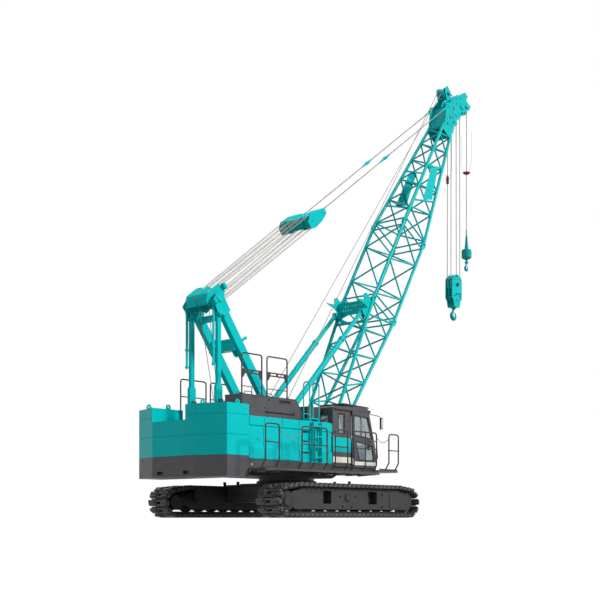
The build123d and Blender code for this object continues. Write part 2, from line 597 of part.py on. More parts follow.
def cab():
    """Cab shell with its windows, glass, door and fittings."""
    outer = side_plate(CAB_OUTLINE, -CAB_OUTER, -CAB_INNER)
    visor = side_plate([(540, 3052), (540, 3080), (1660, 3044), (1660, 3016), (1480, 3016)], -CAB_OUTER + 40,
                       -CAB_INNER - 40)
    hollow_outline = [(110, 1350), (110, 2900), (1470, 2960), (1540, 2900), (1825, 1990), (1885, 1560),
                      (1865, 1350)]
    hollow = side_plate(hollow_outline, -CAB_OUTER + CAB_WALL, -CAB_INNER - CAB_WALL)
    side_out, side_in = -CAB_OUTER - 10, -CAB_OUTER + CAB_WALL + 10
    door_gap = side_plate([(CAB_SPLIT, 1380), (CAB_SPLIT, 2900), (1500, 2900), (1810, 1990), (1870, 1560),
                           (1850, 1380)], side_out, side_in)
    wide = (-CAB_OUTER + CAB_WALL + 20, -CAB_INNER - CAB_WALL - 20)
    x0, x1, z0, z1 = SIDE_WINDOW
    side_window = block(x0, x1, side_out, side_in, z0, z1)
    rear_window = block(30, 130, wide[0] + 85, wide[1] - 35, *REAR_WINDOW)
    left_window = side_plate(LEFT_WINDOW, -CAB_INNER - CAB_WALL - 10, -CAB_INNER + 10)
    front_low = block(1700, 2100, *wide, 1600, 1960)
    front_high = block(1300, 2000, *wide, 2020, 2860)
    shell = cut(merge(outer, visor), hollow, door_gap, side_window, rear_window, left_window, front_low,
                front_high)
    door_out, door_in = -CAB_OUTER - DOOR_GAP - DOOR_PLATE, -CAB_OUTER - DOOR_GAP
    runners = [block(110, x, door_out - 4, -CAB_OUTER + 5, z, z + 20)
               for x, z in ((1500, 2895.5), (1850, 1364.5))]
    save("cab_shell", merge(shell, *runners))
    save("cab_glass", block(x0, x1, -CAB_OUTER + 20, -CAB_OUTER + 20 + CAB_PANE, z0, z1),
         block(70, 70 + CAB_PANE, wide[0] + 85, wide[1] - 35, *REAR_WINDOW),
         side_plate(LEFT_WINDOW, -CAB_INNER - 20 - CAB_PANE, -CAB_INNER - 20))
    middle = -(CAB_OUTER + CAB_INNER) / 2
    half = min(225, (CAB_OUTER - CAB_INNER) / 2 - CAB_WALL - 60)
    seat = merge(block(500, 1000, middle - half, middle + half, 1700, 1800),
                 block(450, 560, middle - half, middle + half, 1780, 2400),
                 block(470, 550, middle - half / 2, middle + half / 2, 2390, 2620),
                 block(600, 900, middle - half / 2, middle + half / 2, 1350, 1710),
                 *[block(620, 980, middle + y - 25, middle + y + 25, 1790, 1990)
                   for y in (-half - 30, half + 30)], *[block(620, 700, middle + y - 40, middle + y + 40, 1710,
                                                              1800) for y in (-half, half)])
    console = block(1450, 1700, middle - half - 60, middle + half + 60, 1350, 1950)
    save("cab_fittings", seat, console)
    door_outline = [(CAB_SPLIT + 5, 1385), (CAB_SPLIT + 5, 2895), (1495, 2895), (1803, 1990), (1863, 1560),
                    (1843, 1385)]
    door = side_plate(door_outline, door_out, door_in)
    holes = [side_plate(outline, door_out - 10, door_in + 10) for outline in (UPPER_WINDOW, LOWER_WINDOW)]
    save("cab_door", cut(door, *holes))
    save("cab_door_glass", *[side_plate(outline, door_in - 15 - CAB_PANE, door_in - 15)
                             for outline in (UPPER_WINDOW, LOWER_WINDOW)])


def both(y0, y1):
    """The same span of Y on either side, each in rising order."""
    return [(y0, y1), (-y1, -y0)]


NEST_CHEEK = ((-280, -100), (-280, 100), (-100, 270), (350, 270), (450, 150), (450, 0), (200, -250), (-100, -280))
REAR_PLATE = ((-3300, 5420), (-3235, 5470), (-3165, 5410), (-3000, 5130), (-3030, 5050), (-3100, 5045),
              (-3145, 5110))


def gantry():
    """A-frame behind the boom, its back links and its sheaves."""
    (fx, fz), (hx, hz) = GANTRY_FOOT, GANTRY_TOP
    turn = math.atan2(hz - fz, hx - fx)
    nx, nz = math.sin(turn) * GANTRY_LEG_DEPTH / 2, -math.cos(turn) * GANTRY_LEG_DEPTH / 2
    leg = [(fx - nx, fz - nz), (fx + nx, fz + nz), (hx + nx, hz + nz), (hx - nx, hz - nz)]
    half = GANTRY_LEG_WIDTH / 2
    bx, bz = BACKSTOP_FOOT
    lug = [(bx - 330, bz - 150), (bx - 60, bz - 90), (bx + 55, bz - 60), (bx + 75, bz + 30), (bx, bz + 80),
           (bx - 480, bz + 200)]
    spacer = [(bx - 330, bz - 150), (bx - 260, bz - 100), (bx - 400, bz + 130), (bx - 480, bz + 200)]
    pieces = []
    for y0, y1 in both(GANTRY_Y - half, GANTRY_Y + half):
        pieces += [side_plate(leg, y0, y1), cross_disc(fx, fz, y0, y1, GANTRY_LEG_DEPTH / 2)]
    for span in ((GANTRY_Y - half, GANTRY_Y - half + 16), (GANTRY_Y + half, GANTRY_Y + half + 16)):
        pieces += [side_plate(GANTRY_HEAD, y0, y1) for y0, y1 in both(*span)]
    for span in ((412, 428), (556, 576)):
        pieces += [side_plate(REAR_PLATE, y0, y1) for y0, y1 in both(*span)]
    for span in ((BACKSTOP_Y - 80, BACKSTOP_Y - 62), (BACKSTOP_Y + 62, BACKSTOP_Y + 80)):
        pieces += [side_plate(lug, y0, y1) for y0, y1 in both(*span)]
    pieces += [side_plate(spacer, y0, y1) for y0, y1 in both(GANTRY_Y + half - 5, BACKSTOP_Y + 80)]
    pieces += [cross_disc(bx, bz, y0, y1, 30) for y0, y1 in both(BACKSTOP_Y - 80, BACKSTOP_Y + 80)]
    pieces += [cross_disc(*GANTRY_REAR_PIN, y0, y1, 32) for y0, y1 in both(400, 585)]
    pieces += [cross_disc(*GANTRY_LOW_PIN, y0, y1, 30) for y0, y1 in both(405, 585)]
    pieces.append(cross_disc(*GANTRY_PIN, -GANTRY_Y - half - 22, GANTRY_Y + half + 22, 55))
    pieces += [rope_plate(NEST_CHEEK, y - 5, y + 5) for y in (-385, 0, 385)]
    turns = [math.radians(113 + 13 * k) for k in range(6)]
    cover = [(265 * math.cos(turn), 265 * math.sin(turn)) for turn in turns]
    cover += [(253 * math.cos(turn), 253 * math.sin(turn)) for turn in reversed(turns)]
    pieces.append(rope_plate(cover, -390, 390))
    pieces += [rope_plate([(430, 60), (430, 230), (520, 200), (520, 40)], y0, y1) for y0, y1 in both(385, 470)]
    pieces += [block(-2895, -2745, -GANTRY_Y, GANTRY_Y, 5015, 5165),
               block(-2490, -2270, -GANTRY_Y, GANTRY_Y, 4280, 4580)]
    for side in (-1, 1):
        pieces.append(front_plate([(side * 280, 4285), (side * 392, 4285), (side * 392, 4120)], -2400, -2280))
    pieces.append(bar((-2330, -500, 4500), (-2085, -500, 4650), 38))
    save("gantry_frame", merge(*pieces))
    links = []
    (x, z), (rx, rz) = GANTRY_LOW_PIN, GANTRY_REAR_PIN
    fork = [(x - 35, 3420), (x - 105, 3300), (x - 105, 2950), (x - 60, 2870), (x + 60, 2870), (x + 105, 2950),
            (x + 105, 3300), (x + 35, 3420)]
    strut = [(x - 60, 3200), (x - 60, z - 60), (x + 60, z - 60), (x + 60, 3200)]
    for y in (-LINK_Y, LINK_Y):
        y0, y1 = y - 45, y + 45
        link = merge(side_plate(strut, y0, y1), cross_disc(x, z, y0, y1, 70), side_plate(fork, y0, y1),
                     cross_disc(x, LINK_FOOT_Z + 35, y0 - 10, y1 + 10, 34))
        links.append(cut(link, cross_disc(x, z, y0 - 5, y1 + 5, 30.3)))
        tie = merge(block(rx - 30, rx + 30, y - 15, y + 15, 3850, rz), cross_disc(rx, rz, y - 15, y + 15, 50),
                    *[cross_disc(rx, at, y - 24, y + 24, 45) for at in (3850, 4290)])
        links.append(cut(tie, cross_disc(rx, rz, y - 20, y + 20, 32.3)))
    save("gantry_links", *links)
    save("luffing_sheaves", *[cross_ring(*GANTRY_PIN, y - 24, y + 24, GANTRY_SHEAVE_RADIUS, 55.3)
                              for y in GANTRY_SHEAVES])


def rope_spot(along, off, y=0):
    """A space point on the luffing line, from the gantry pin towards the boom head."""
    x, _, z = spot(*PENDANT_PIN)
    turn = math.atan2(z - GANTRY_PIN[1], x - GANTRY_PIN[0])
    return (GANTRY_PIN[0] + along * math.cos(turn) - off * math.sin(turn), y,
            GANTRY_PIN[1] + along * math.sin(turn) + off * math.cos(turn))


def rope_plate(outline, y0, y1):
    """An outline of (along, off) points on the luffing line between two values of Y."""
    return prism([rope_spot(along, off, y0) for along, off in outline], (0, y1 - y0, 0))


def rope_disc(along, off, y0, y1, radius):
    """A pin or disc across the luffing line."""
    x, _, z = rope_spot(along, off)
    return cross_disc(x, z, y0, y1, radius)


def luffing():
    """Bridle with its sheaves and the two pendants to the boom head."""
    at, eye = BRIDLE_AT, BRIDLE_AT + 540
    cheek = [(at - 200, -150), (at - 220, 60), (at - 50, 190), (at + 350, 170), (at + 650, 90), (at + 650, -80),
             (at + 350, -170), (at, -200)]
    plates = [rope_plate(cheek, y - 12, y + 12) for y in (-540, -290, 290, 540)]
    sheaves = [rope_disc(at, 0, y - 25, y + 25, 170) for y in (-470, -400, -220, -150, -80, 80, 150, 220, 400,
                                                               470)]
    pins = [rope_disc(at, 0, -560, 560, 40), rope_disc(eye, 0, -560, 560, 40)]
    tie = rope_plate([(at + 290, -60), (at + 290, 60), (at + 370, 60), (at + 370, -60)], -540, 540)
    save("bridle", merge(*plates, *sheaves, *pins, tie))
    reach = math.dist(rope_spot(0, 0), spot(*PENDANT_PIN))
    pendants = []
    for side in (-1, 1):
        y = side * PENDANT_Y
        ends = [rope_plate([(eye - 90, -50), (eye - 90, 50), (eye + 310, 35), (eye + 310, -35)], y - 18, y + 18),
               rope_plate([(reach - 420, -35), (reach - 420, 35), (reach, 55), (reach, -55)], y - 18, y + 18),
               rope_disc(reach, 0, y - 18, y + 18, 60)]
        rope = bar(rope_spot(eye + 210, 0, y), rope_spot(reach - 300, 0, y), 22)
        y0, y1 = sorted((y, side * (HEAD_CHEEK_Y + 15.6)))
        stub = rope_disc(reach, 0, y0, y1, 30)
        pendants.append(cut(merge(*ends, rope, stub), rope_disc(eye, 0, y - 30, y + 30, 40)))
    save("pendants", *pendants)


def backstop_spot(along, off=0, y=0):
    """A space point on a backstop's line, from its foot towards the boom."""
    x, _, z = spot(*BACKSTOP_PIN)
    turn = math.atan2(z - BACKSTOP_FOOT[1], x - BACKSTOP_FOOT[0])
    return (BACKSTOP_FOOT[0] + along * math.cos(turn) - off * math.sin(turn), y,
            BACKSTOP_FOOT[1] + along * math.sin(turn) + off * math.cos(turn))


def backstop_plate(outline, y0, y1):
    """An outline of (along, off) points on a backstop's line between two values of Y."""
    return prism([backstop_spot(along, off, y0) for along, off in outline], (0, y1 - y0, 0))


def backstops():
    """Two telescopic struts that stop the boom from going over backwards."""
    x, _, z = spot(*BACKSTOP_PIN)
    reach = math.dist(BACKSTOP_FOOT, (x, z))
    tubes, rods = [], []
    for y in (-BACKSTOP_Y, BACKSTOP_Y):
        neck = backstop_plate([(0, -62), (0, 62), (180, 62), (180, -62)], y - 50, y + 50)
        tube = merge(bar(backstop_spot(125, 0, y), backstop_spot(TUBE_LENGTH, 0, y), TUBE_RADIUS, 12), neck,
                     bar(backstop_spot(TUBE_LENGTH - 90, 0, y), backstop_spot(TUBE_LENGTH, 0, y),
                         TUBE_RADIUS + 12, 12), cross_disc(*BACKSTOP_FOOT, y - 50, y + 50, 78))
        hollow = bar(backstop_spot(TUBE_LENGTH - TUBE_BORE, 0, y), backstop_spot(TUBE_LENGTH - 80, 0, y),
                     ROD_RADIUS + 8, 12)
        mouth = bar(backstop_spot(TUBE_LENGTH - 100, 0, y), backstop_spot(TUBE_LENGTH + 20, 0, y),
                    ROD_RADIUS + 0.6, 12)
        tubes.append(cut(tube, cross_disc(*BACKSTOP_FOOT, y - 70, y + 70, 30.3), hollow, mouth))
        eye = backstop_plate([(reach - 200, -50), (reach - 200, 50), (reach, 50), (reach, -50)], y - 34, y + 34)
        rods.append(merge(bar(backstop_spot(reach - ROD_LENGTH, 0, y), backstop_spot(reach - 155, 0, y),
                              ROD_RADIUS, 12), eye, cross_disc(x, z, y - 34, y + 34, 60)))
    save("backstop_tubes", *tubes)
    save("backstop_rods", *rods)


def hook_plate(x, z, half, size):
    """A flat hook with a closing latch that hangs down from (x, z)."""
    outline = [(-45, 0), (-45, -70), (-115, -120), (-150, -215), (-125, -300), (-50, -360), (50, -360),
               (125, -300), (150, -215), (128, -150), (92, -165), (95, -225), (60, -280), (0, -300), (-60, -280),
               (-88, -215), (-60, -150), (45, -80), (45, 0)]
    latch = [(25, -60), (43, -60), (125, -160), (110, -172), (25, -75)]
    return merge(side_plate([(x + px * size, z + pz * size) for px, pz in outline], -half, half),
                 side_plate([(x + px * size, z + pz * size) for px, pz in latch], -half / 2, half / 2))


def turned(x, y, rows):
    """A round upright form from (height, radius) rows."""
    outline = [(0, rows[0][0])] + [(r, z) for z, r in rows] + [(0, rows[-1][0])]
    face = Face(Wire.make_polygon([Vector(x + r, y, z) for r, z in outline]))
    return Solid.revolve(face, 360, Axis((x, y, 0), (0, 0, 1)))


BLOCK_PLATE = ((-150, 6970), (150, 6970), (205, 7180), (290, 7260), (285, 7880), (200, 7960), (60, 8060),
               (-60, 8060), (-200, 7960), (-285, 7880), (-290, 7260), (-205, 7180))
WEIGHT_FORM = ((8700, 70), (8735, 110), (8745, 150), (8775, 168), (9005, 168), (9035, 150), (9045, 80),
               (9090, 62), (9440, 36), (9520, 30))


def hooks():
    """Head sheaves, main block and hook, auxiliary weight and hook."""
    x, _, z = spot(*MAIN_SHEAVE)
    save("main_head_sheaves", *[cross_ring(x, z, y - 28, y + 28, MAIN_SHEAVE_RADIUS + 10, 45.3)
                                for y in (-210, -70, 70, 210)])
    cheeks = [side_plate([(x + px, pz) for px, pz in BLOCK_PLATE], y - 12, y + 12) for y in (-125, 0, 125)]
    sheaves = [cross_disc(x, BLOCK_SHEAVE_Z, y - 28, y + 28, MAIN_SHEAVE_RADIUS + 10) for y in (-70, 70)]
    pins = [cross_disc(x, BLOCK_SHEAVE_Z, -165, 165, 60)]
    pins += [cross_disc(x + px, pz, -150, 150, 20) for px, pz in ((-225, 7900), (225, 7900), (-230, 7300),
                                                                  (230, 7300))]
    head = block(x - 110, x + 110, -137, 137, BLOCK_BOTTOM, BLOCK_BOTTOM + 90)
    room = block(x - 85, x + 85, -110, 110, BLOCK_BOTTOM + 90, BLOCK_BOTTOM + 190)
    save("main_block", cut(merge(*cheeks, *sheaves, *pins, head), room,
                           post(x, 0, BLOCK_BOTTOM - 5, BLOCK_BOTTOM + 95, 45.3)))
    top = HOOK_BOTTOM + 360
    save("main_hook", merge(hook_plate(x, top, 32, 1.0), post(x, 0, top - 20, BLOCK_BOTTOM + 110, 45),
                            post(x, 0, BLOCK_BOTTOM + 98, BLOCK_BOTTOM + 150, 75)))
    x, _, z = spot(*AUX_SHEAVE)
    save("aux_head_sheave", cross_ring(x, z, -28, 28, AUX_SHEAVE_RADIUS + 10, 40.3))
    x += AUX_SHEAVE_RADIUS
    save("aux_ball", cut(turned(x, 0, WEIGHT_FORM), post(x, 0, BALL_Z - 200, BALL_Z - 60, 25.3)))
    top = AUX_HOOK_BOTTOM + 360 * AUX_HOOK_SIZE
    save("aux_hook", merge(hook_plate(x, top, 22, AUX_HOOK_SIZE), post(x, 0, top - 10, BALL_Z - 70, 25)))


HEAD_CHEEK = ((12620, 250), (13050, 290), (13240, 420), (13330, 500), (13470, 500), (13560, 430), (13650, 350),
              (13900, 330), (14020, 230), (14150, 150), (14220, -60), (14150, -300), (14040, -440), (13850, -280),
              (13600, -320), (13420, -220), (13330, -300), (13240, -300), (13180, -200), (12900, -270),
              (12620, -270))
HEAD_NOSE = ((13900, 100), (14020, 180), (14240, 80), (14500, -70), (14650, -150), (14820, -260), (14820, -440),
             (14640, -450), (14640, -590), (14660, -750), (14480, -750), (14400, -650), (14250, -600),
             (14070, -440), (13900, -300))
GUIDE_BRACKET = ((13350, 240), (13800, 450), (13920, 620), (14050, 680), (14180, 620), (14130, 400), (14000, 250),
                 (13950, 100), (13400, 100))
EAR = ((4605, 470), (4645, 760), (4690, 800), (4750, 800), (4800, 760), (4960, 520))
HORN = ((4880, 560), (4900, 800), (4810, 1200), (5020, 860), (5100, 950), (5180, 960), (5250, 900), (5230, 740),
        (5410, 520))
SIGN = ((9610, 110), (10910, 190), (11190, -100), (9970, -290))
HEAD_PINS = ((MAIN_SHEAVE, 45, 310), (AUX_SHEAVE, 40, 150), (GUIDE_SHEAVE, 45, 176))


def boom_plates():
    """Foot plates, backstop brackets, guard plate, blank sign panels and pin lugs, as a list."""
    made = []
    for y0, y1 in both(505, 605):
        foot = merge(boom_plate([(-70, -60), (-70, 60), (420, 200), (420, -200)], y0, y1),
                     boom_disc(0, 0, y0, y1, 85))
        made.append(cut(foot, boom_disc(0, 0, y0 - 5, y1 + 5, 45.3)))
    brackets = [boom_plate(EAR, y0, y1) for y0, y1 in both(420, 440) + both(*HORN_Y)]
    brackets += [boom_plate(HORN, y0, y1) for y0, y1 in both(*HORN_Y)]
    guard = boom_plate([(4865, 512), (4850, 530), (5120, 760), (5135, 742)], -HORN_Y[0] - 2, HORN_Y[0] + 2)
    holes = [bar(spot(s - 40, off + 47, y), spot(s + 40, off - 47, y), 17, 6)
             for s, off in ((4945, 597), (5040, 678)) for y in range(-400, 401, 100)]
    ties = [boom_plate([(s, 470), (s, 530), (s + 60, 530), (s + 60, 470)], -HORN_Y[1], HORN_Y[1])
            for s in (4500, 4880)]
    braces = [bar(corner(4760, side, 1), corner(5230, side, -1), 30) for side in (-1, 1)]
    made.append(merge(cut(guard, *holes), *brackets, *ties, *braces))
    for side in (-1, 1):
        marks = [spot(s, off, side * (shape_at(s)[0] + 28)) for s, off in SIGN]
        made.append(merge(prism(marks, (0, side * 6, 0)), bar(corner(9250, side, 1), corner(10030, side, -1), 30),
                          bar(corner(10800, side, 1), corner(11400, side, -1), 30)))
    return made + sleeves(JOINT_LOW) + sleeves(JOINT_HIGH)


def boom_head():
    """Cheeks, nose, pins, webs and guide discs at the boom's top, as one piece."""
    pieces = []
    for outline, y0, y1 in ((HEAD_CHEEK, HEAD_CHEEK_Y - 15, HEAD_CHEEK_Y + 15),
                            (HEAD_NOSE, HEAD_NOSE_Y - 10, HEAD_NOSE_Y + 10),
                            (GUIDE_BRACKET, HEAD_NOSE_Y + 20, HEAD_NOSE_Y + 36)):
        pieces += [boom_plate(outline, low, high) for low, high in both(y0, y1)]
    pieces += [boom_disc(*pin, -reach, reach, radius) for pin, radius, reach in HEAD_PINS]
    pieces += [boom_disc(*GUIDE_SHEAVE, y0, y1, GUIDE_SHEAVE_RADIUS) for y0, y1 in both(60, 140)]
    rear_web = boom_plate([(12700, 215), (12700, 235), (13560, 300), (13560, 280)], -HEAD_CHEEK_Y + 5,
                          HEAD_CHEEK_Y - 5)
    front_web = boom_plate([(12700, -235), (12700, -215), (13180, -175), (13180, -195)], -HEAD_CHEEK_Y + 5,
                           HEAD_CHEEK_Y - 5)
    cross_web = boom_plate([(13560, -200), (13560, 300), (13585, 300), (13585, -200)], -HEAD_CHEEK_Y + 5,
                           HEAD_CHEEK_Y - 5)
    return merge(*pieces, rear_web, front_web, cross_web)


def boom():
    """Three lattice sections, the plates on them and the head."""
    insert = merge(*lattice(JOINT_LOW, JOINT_HIGH, INSERT_STOPS, 1))
    lower = cut(merge(*lattice(300, JOINT_LOW, LOWER_STOPS, 1)), insert)
    top = merge(*lattice(JOINT_HIGH, 12900, TOP_STOPS, -1))
    save("boom_lower", lower)
    save("boom_insert", insert)
    save("boom_top", top)
    save("boom_plates", *[cut(piece, lower, insert, top) for piece in boom_plates()])
    save("boom_head", cut(boom_head(), top))


undercarriage()
counterweight()
house_and_frame()
cab()
gantry()
luffing()
backstops()
boom()
hooks()
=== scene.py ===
"""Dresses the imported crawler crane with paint, steel, glass, ropes and small fittings, and lights it.

Metres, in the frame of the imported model: X forward, Y to the machine's left, Z up, with the ground at Z = 0.
"""
import json
import math

import bmesh
import bpy
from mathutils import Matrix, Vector
from mathutils.geometry import tessellate_polygon


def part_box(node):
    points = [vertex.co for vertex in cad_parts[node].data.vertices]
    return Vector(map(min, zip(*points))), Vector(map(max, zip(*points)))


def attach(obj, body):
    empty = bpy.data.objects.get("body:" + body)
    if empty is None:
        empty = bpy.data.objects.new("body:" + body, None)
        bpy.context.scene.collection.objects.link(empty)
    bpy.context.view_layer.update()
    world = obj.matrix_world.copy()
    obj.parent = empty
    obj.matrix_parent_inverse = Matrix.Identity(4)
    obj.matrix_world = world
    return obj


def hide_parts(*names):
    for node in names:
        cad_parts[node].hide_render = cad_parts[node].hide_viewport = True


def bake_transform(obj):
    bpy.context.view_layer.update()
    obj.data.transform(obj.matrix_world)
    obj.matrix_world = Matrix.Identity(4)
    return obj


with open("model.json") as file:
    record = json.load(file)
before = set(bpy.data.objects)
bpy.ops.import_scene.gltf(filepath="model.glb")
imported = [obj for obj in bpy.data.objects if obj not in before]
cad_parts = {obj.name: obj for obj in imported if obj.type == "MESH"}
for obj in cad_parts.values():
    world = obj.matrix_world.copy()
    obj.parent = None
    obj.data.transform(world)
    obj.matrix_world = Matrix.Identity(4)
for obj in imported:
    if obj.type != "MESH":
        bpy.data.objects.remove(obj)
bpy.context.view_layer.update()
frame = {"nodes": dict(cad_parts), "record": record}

# Boom: distances run along the boom from its foot pin and off its axis, positive to the rear face
BOOM_FOOT = (0.95, 1.58)
BOOM_ANGLE = math.radians(59.5)
BOOM_SHAPE = ((0.3, 0.555, 0.13), (5.33, 0.585, 0.57), (8.4, 0.585, 0.57), (12.9, 0.255, 0.235))
# Sections: node, start, end, which corners hold the first lacing, lacing stops
BOOM_SECTIONS = (
    ("boom_lower", 0.3, 5.33, 1, (0.45, 0.95, 1.45, 1.92, 2.35, 2.92, 3.37, 3.83, 4.25, 4.7, 5.21)),
    ("boom_insert", 5.33, 8.33, 1, (5.5, 6.15, 6.83, 7.5, 8.15)),
    ("boom_top", 8.33, 12.9, -1, (8.48, 8.95, 9.5, 9.93, 10.42, 10.9, 11.3, 11.65, 12.05, 12.38, 12.7)))
CHORD_RADIUS = 0.05
LACING_RADIUS = 0.026
MAIN_SHEAVE = (14.01, -0.2)
MAIN_SHEAVE_RADIUS = 0.265
MAIN_SHEAVES = (-0.21, -0.07, 0.07, 0.21)
AUX_SHEAVE = (14.46, -0.57)
AUX_SHEAVE_RADIUS = 0.23
GUIDE_SHEAVE = (14.0, 0.45)
GUIDE_SHEAVE_RADIUS = 0.2
BLOCK_SHEAVE_Z = 7.72
BALL_TOP_Z = 9.52

# Luffing line: distances run from the gantry pin towards the boom head
GANTRY_PIN = (-3.1, 5.48)
PENDANT_PIN = (13.4, 0.42)
GANTRY_SHEAVES = (-0.35, -0.28, -0.21, -0.14, -0.07, 0.07, 0.14, 0.21, 0.28, 0.35)
BRIDLE_SHEAVES = (-0.47, -0.4, -0.22, -0.15, -0.08, 0.08, 0.15, 0.22, 0.4, 0.47)
BRIDLE_SHEAVE_AT = 4.495
GANTRY_SHEAVE_RADIUS = 0.2
BRIDLE_SHEAVE_RADIUS = 0.166
# Pins of the gantry and the backstops' feet: x, z, y of the outer face, radius
GANTRY_PINS = ((-0.415, 1.8, 0.58, 0.05), (*GANTRY_PIN, 0.556, 0.07), (-3.07, 5.12, 0.576, 0.055),
               (-3.235, 5.395, 0.576, 0.05), (-0.6, 2.65, 0.57, 0.032), (-3.045, 2.9, 0.575, 0.04))

# Boom head's side plates, in distances along the boom and off its axis
# Round openings, drawn as near-black discs of painted shade: along, off, radius
HEAD_HOLES = ((13.22, 0.12, 0.05), (13.62, 0.12, 0.06), (13.88, 0.08, 0.035), (14.02, 0.18, 0.03),
              (13.52, -0.14, 0.03), (13.0, 0.1, 0.03), (13.36, -0.02, 0.028))
# Pins: place, y of the outer face, radius
HEAD_PINS = ((MAIN_SHEAVE, 0.318, 0.07), (GUIDE_SHEAVE, 0.205, 0.05), (AUX_SHEAVE, 0.158, 0.055),
             (PENDANT_PIN, 0.318, 0.05), ((13.25, -0.12), 0.318, 0.04), ((12.95, 0.12), 0.318, 0.035))
HEAD_BOLTS = ((13.05, 0.22), (13.05, 0.0), (13.05, -0.2), (13.5, 0.3), (13.5, -0.05), (13.75, 0.28),
              (13.72, -0.2), (14.2, 0.02))
# Welded ribs: along and off at the start, then at the end
HEAD_RIBS = ((12.72, 0.2, 13.3, 0.42), (12.72, -0.21, 13.2, -0.16), (13.3, 0.42, 13.85, 0.32),
             (13.05, -0.18, 13.85, 0.3))

ROPE_RADIUS = 0.009
LUFF_ROPE_RADIUS = 0.007
PENDANT_Y = 0.345
PENDANT_RADIUS = 0.016
PENDANT_JOINT = 8.9
# Inner end of the pin that holds a pendant to the head
PENDANT_PIN_Y = 0.3156
# Corners of a coupling's side plate: along the line, off it
PENDANT_PLATE = ((-0.1, -0.02), (-0.06, -0.04), (0.06, -0.04), (0.1, -0.02), (0.1, 0.02), (0.06, 0.04),
                 (-0.06, 0.04), (-0.1, 0.02))
# Hooks: node, drop from the stem's top to the hook's collar, size
HOOKS = (("main_hook", 0.15, 1.12), ("aux_hook", 0.23, 0.74))
# Drums: x, z, radius of the barrel, y of the rope that leaves it
DRUMS = ((-1.62, 1.85, 0.2, -0.1), (-0.56, 1.85, 0.2, 0.1))
LUFFING_DRUM = (-2.3, 1.85, 0.18)

# Tracks
GAUGE = 4.03
SHOE_WIDTH = 0.8
SHOE_COUNT = 64
SHOE_THICK = 0.075
LUG_DEPTH = 0.035
LINK_DEPTH = 0.06
WHEEL_X = 2.5
WHEEL_Z = 0.42
TRACK_TOP = 0.885

# Upper works
HOUSE_SIDE = 1.617
HOUSE_TOP = 2.51
# How far the band across the house side is sunk
SUNK_BAND = 0.026
DOOR_SEAMS = (-3.11, -2.577, -1.931, -1.269)
DOOR_NAMES = ("house_door_rear", "house_door_middle", "house_door_front")
# Rail bays: first and last x, and whether a third post stands between them
RAIL_BAYS = ((-3.25, -2.77, 0), (-1.94, -0.98, 1), (-0.65, -0.15, 0), (0.11, 1.07, 1))
FRONT_BAY = (1.62, 2.05, 0)
RAIL_Y = 2.3
RAIL_RADIUS = 0.019
DECK_EDGE = 2.2
DECK_TOP = 1.21
DECK_STEP = 1.33
FRONT_DECK_TOP = 1.29
RAIL_TOP = 2.27
RAIL_MID = 1.83
HOOP_TOP = 4.07
HOOP_Y = -1.33
HOOPS = ((-3.08, -2.37), (-2.18, -1.43))
LEFT_HOOPS = ((-3.08, -2.18), (-2.02, -1.1))
HOOD_TOP = 3.06
HOOD_SIDE = -1.36
LEFT_HOOP_Y = 0.9
CHAIN_PITCH = 0.034
LADDER_X = (-0.83, -0.5)
LADDER_STEPS = (1.56, 1.83, 2.1, 2.37)

# Cab windows, as (x, z) points, and the lower and upper edges of the two front panes
UPPER_WINDOW = ((0.9, 2.25), (0.9, 2.775), (1.5, 2.74), (1.69, 2.17))
LOWER_WINDOW = ((0.975, 2.08), (1.69, 1.985), (1.77, 1.575), (1.125, 1.575))
SIDE_WINDOW = (0.294, 0.545, 2.258, 2.79)
CAB_FRONT_PANES = (((1.944, 1.6), (1.891, 1.96)), ((1.879, 2.02), (1.63, 2.86)))
CAB_GLASS_Y = (-1.537, -0.785)
CAB_MIDDLE = -(HOUSE_SIDE + 0.705) / 2
CAB_DOOR_FACE = -HOUSE_SIDE - 0.05

# View and light
CAMERA_PLACE = (-21.94, -20.05, 0.02)
CAMERA_HEADING = math.radians(41.7)
CAMERA_LENS = 64.8
CAMERA_SHIFT = 0.3617
# Lamps: name, direction that the light comes from, how wide it looks in degrees, strength
LAMPS = (("key", (0.3, -0.8, 0.52), 12, 2.9), ("fill", (-0.9, -0.2, 0.38), 40, 0.52),
         ("front", (0.6, 0.55, 0.6), 40, 0.5))
LIGHT_ALL_ROUND = 0.24
FLOOR_HALF = 80
FLOOR_GLOW = 1.08
# The glow's share in what the camera and reflections see of the floor
FLOOR_GLOW_SHARE = 0.93


# Shapes

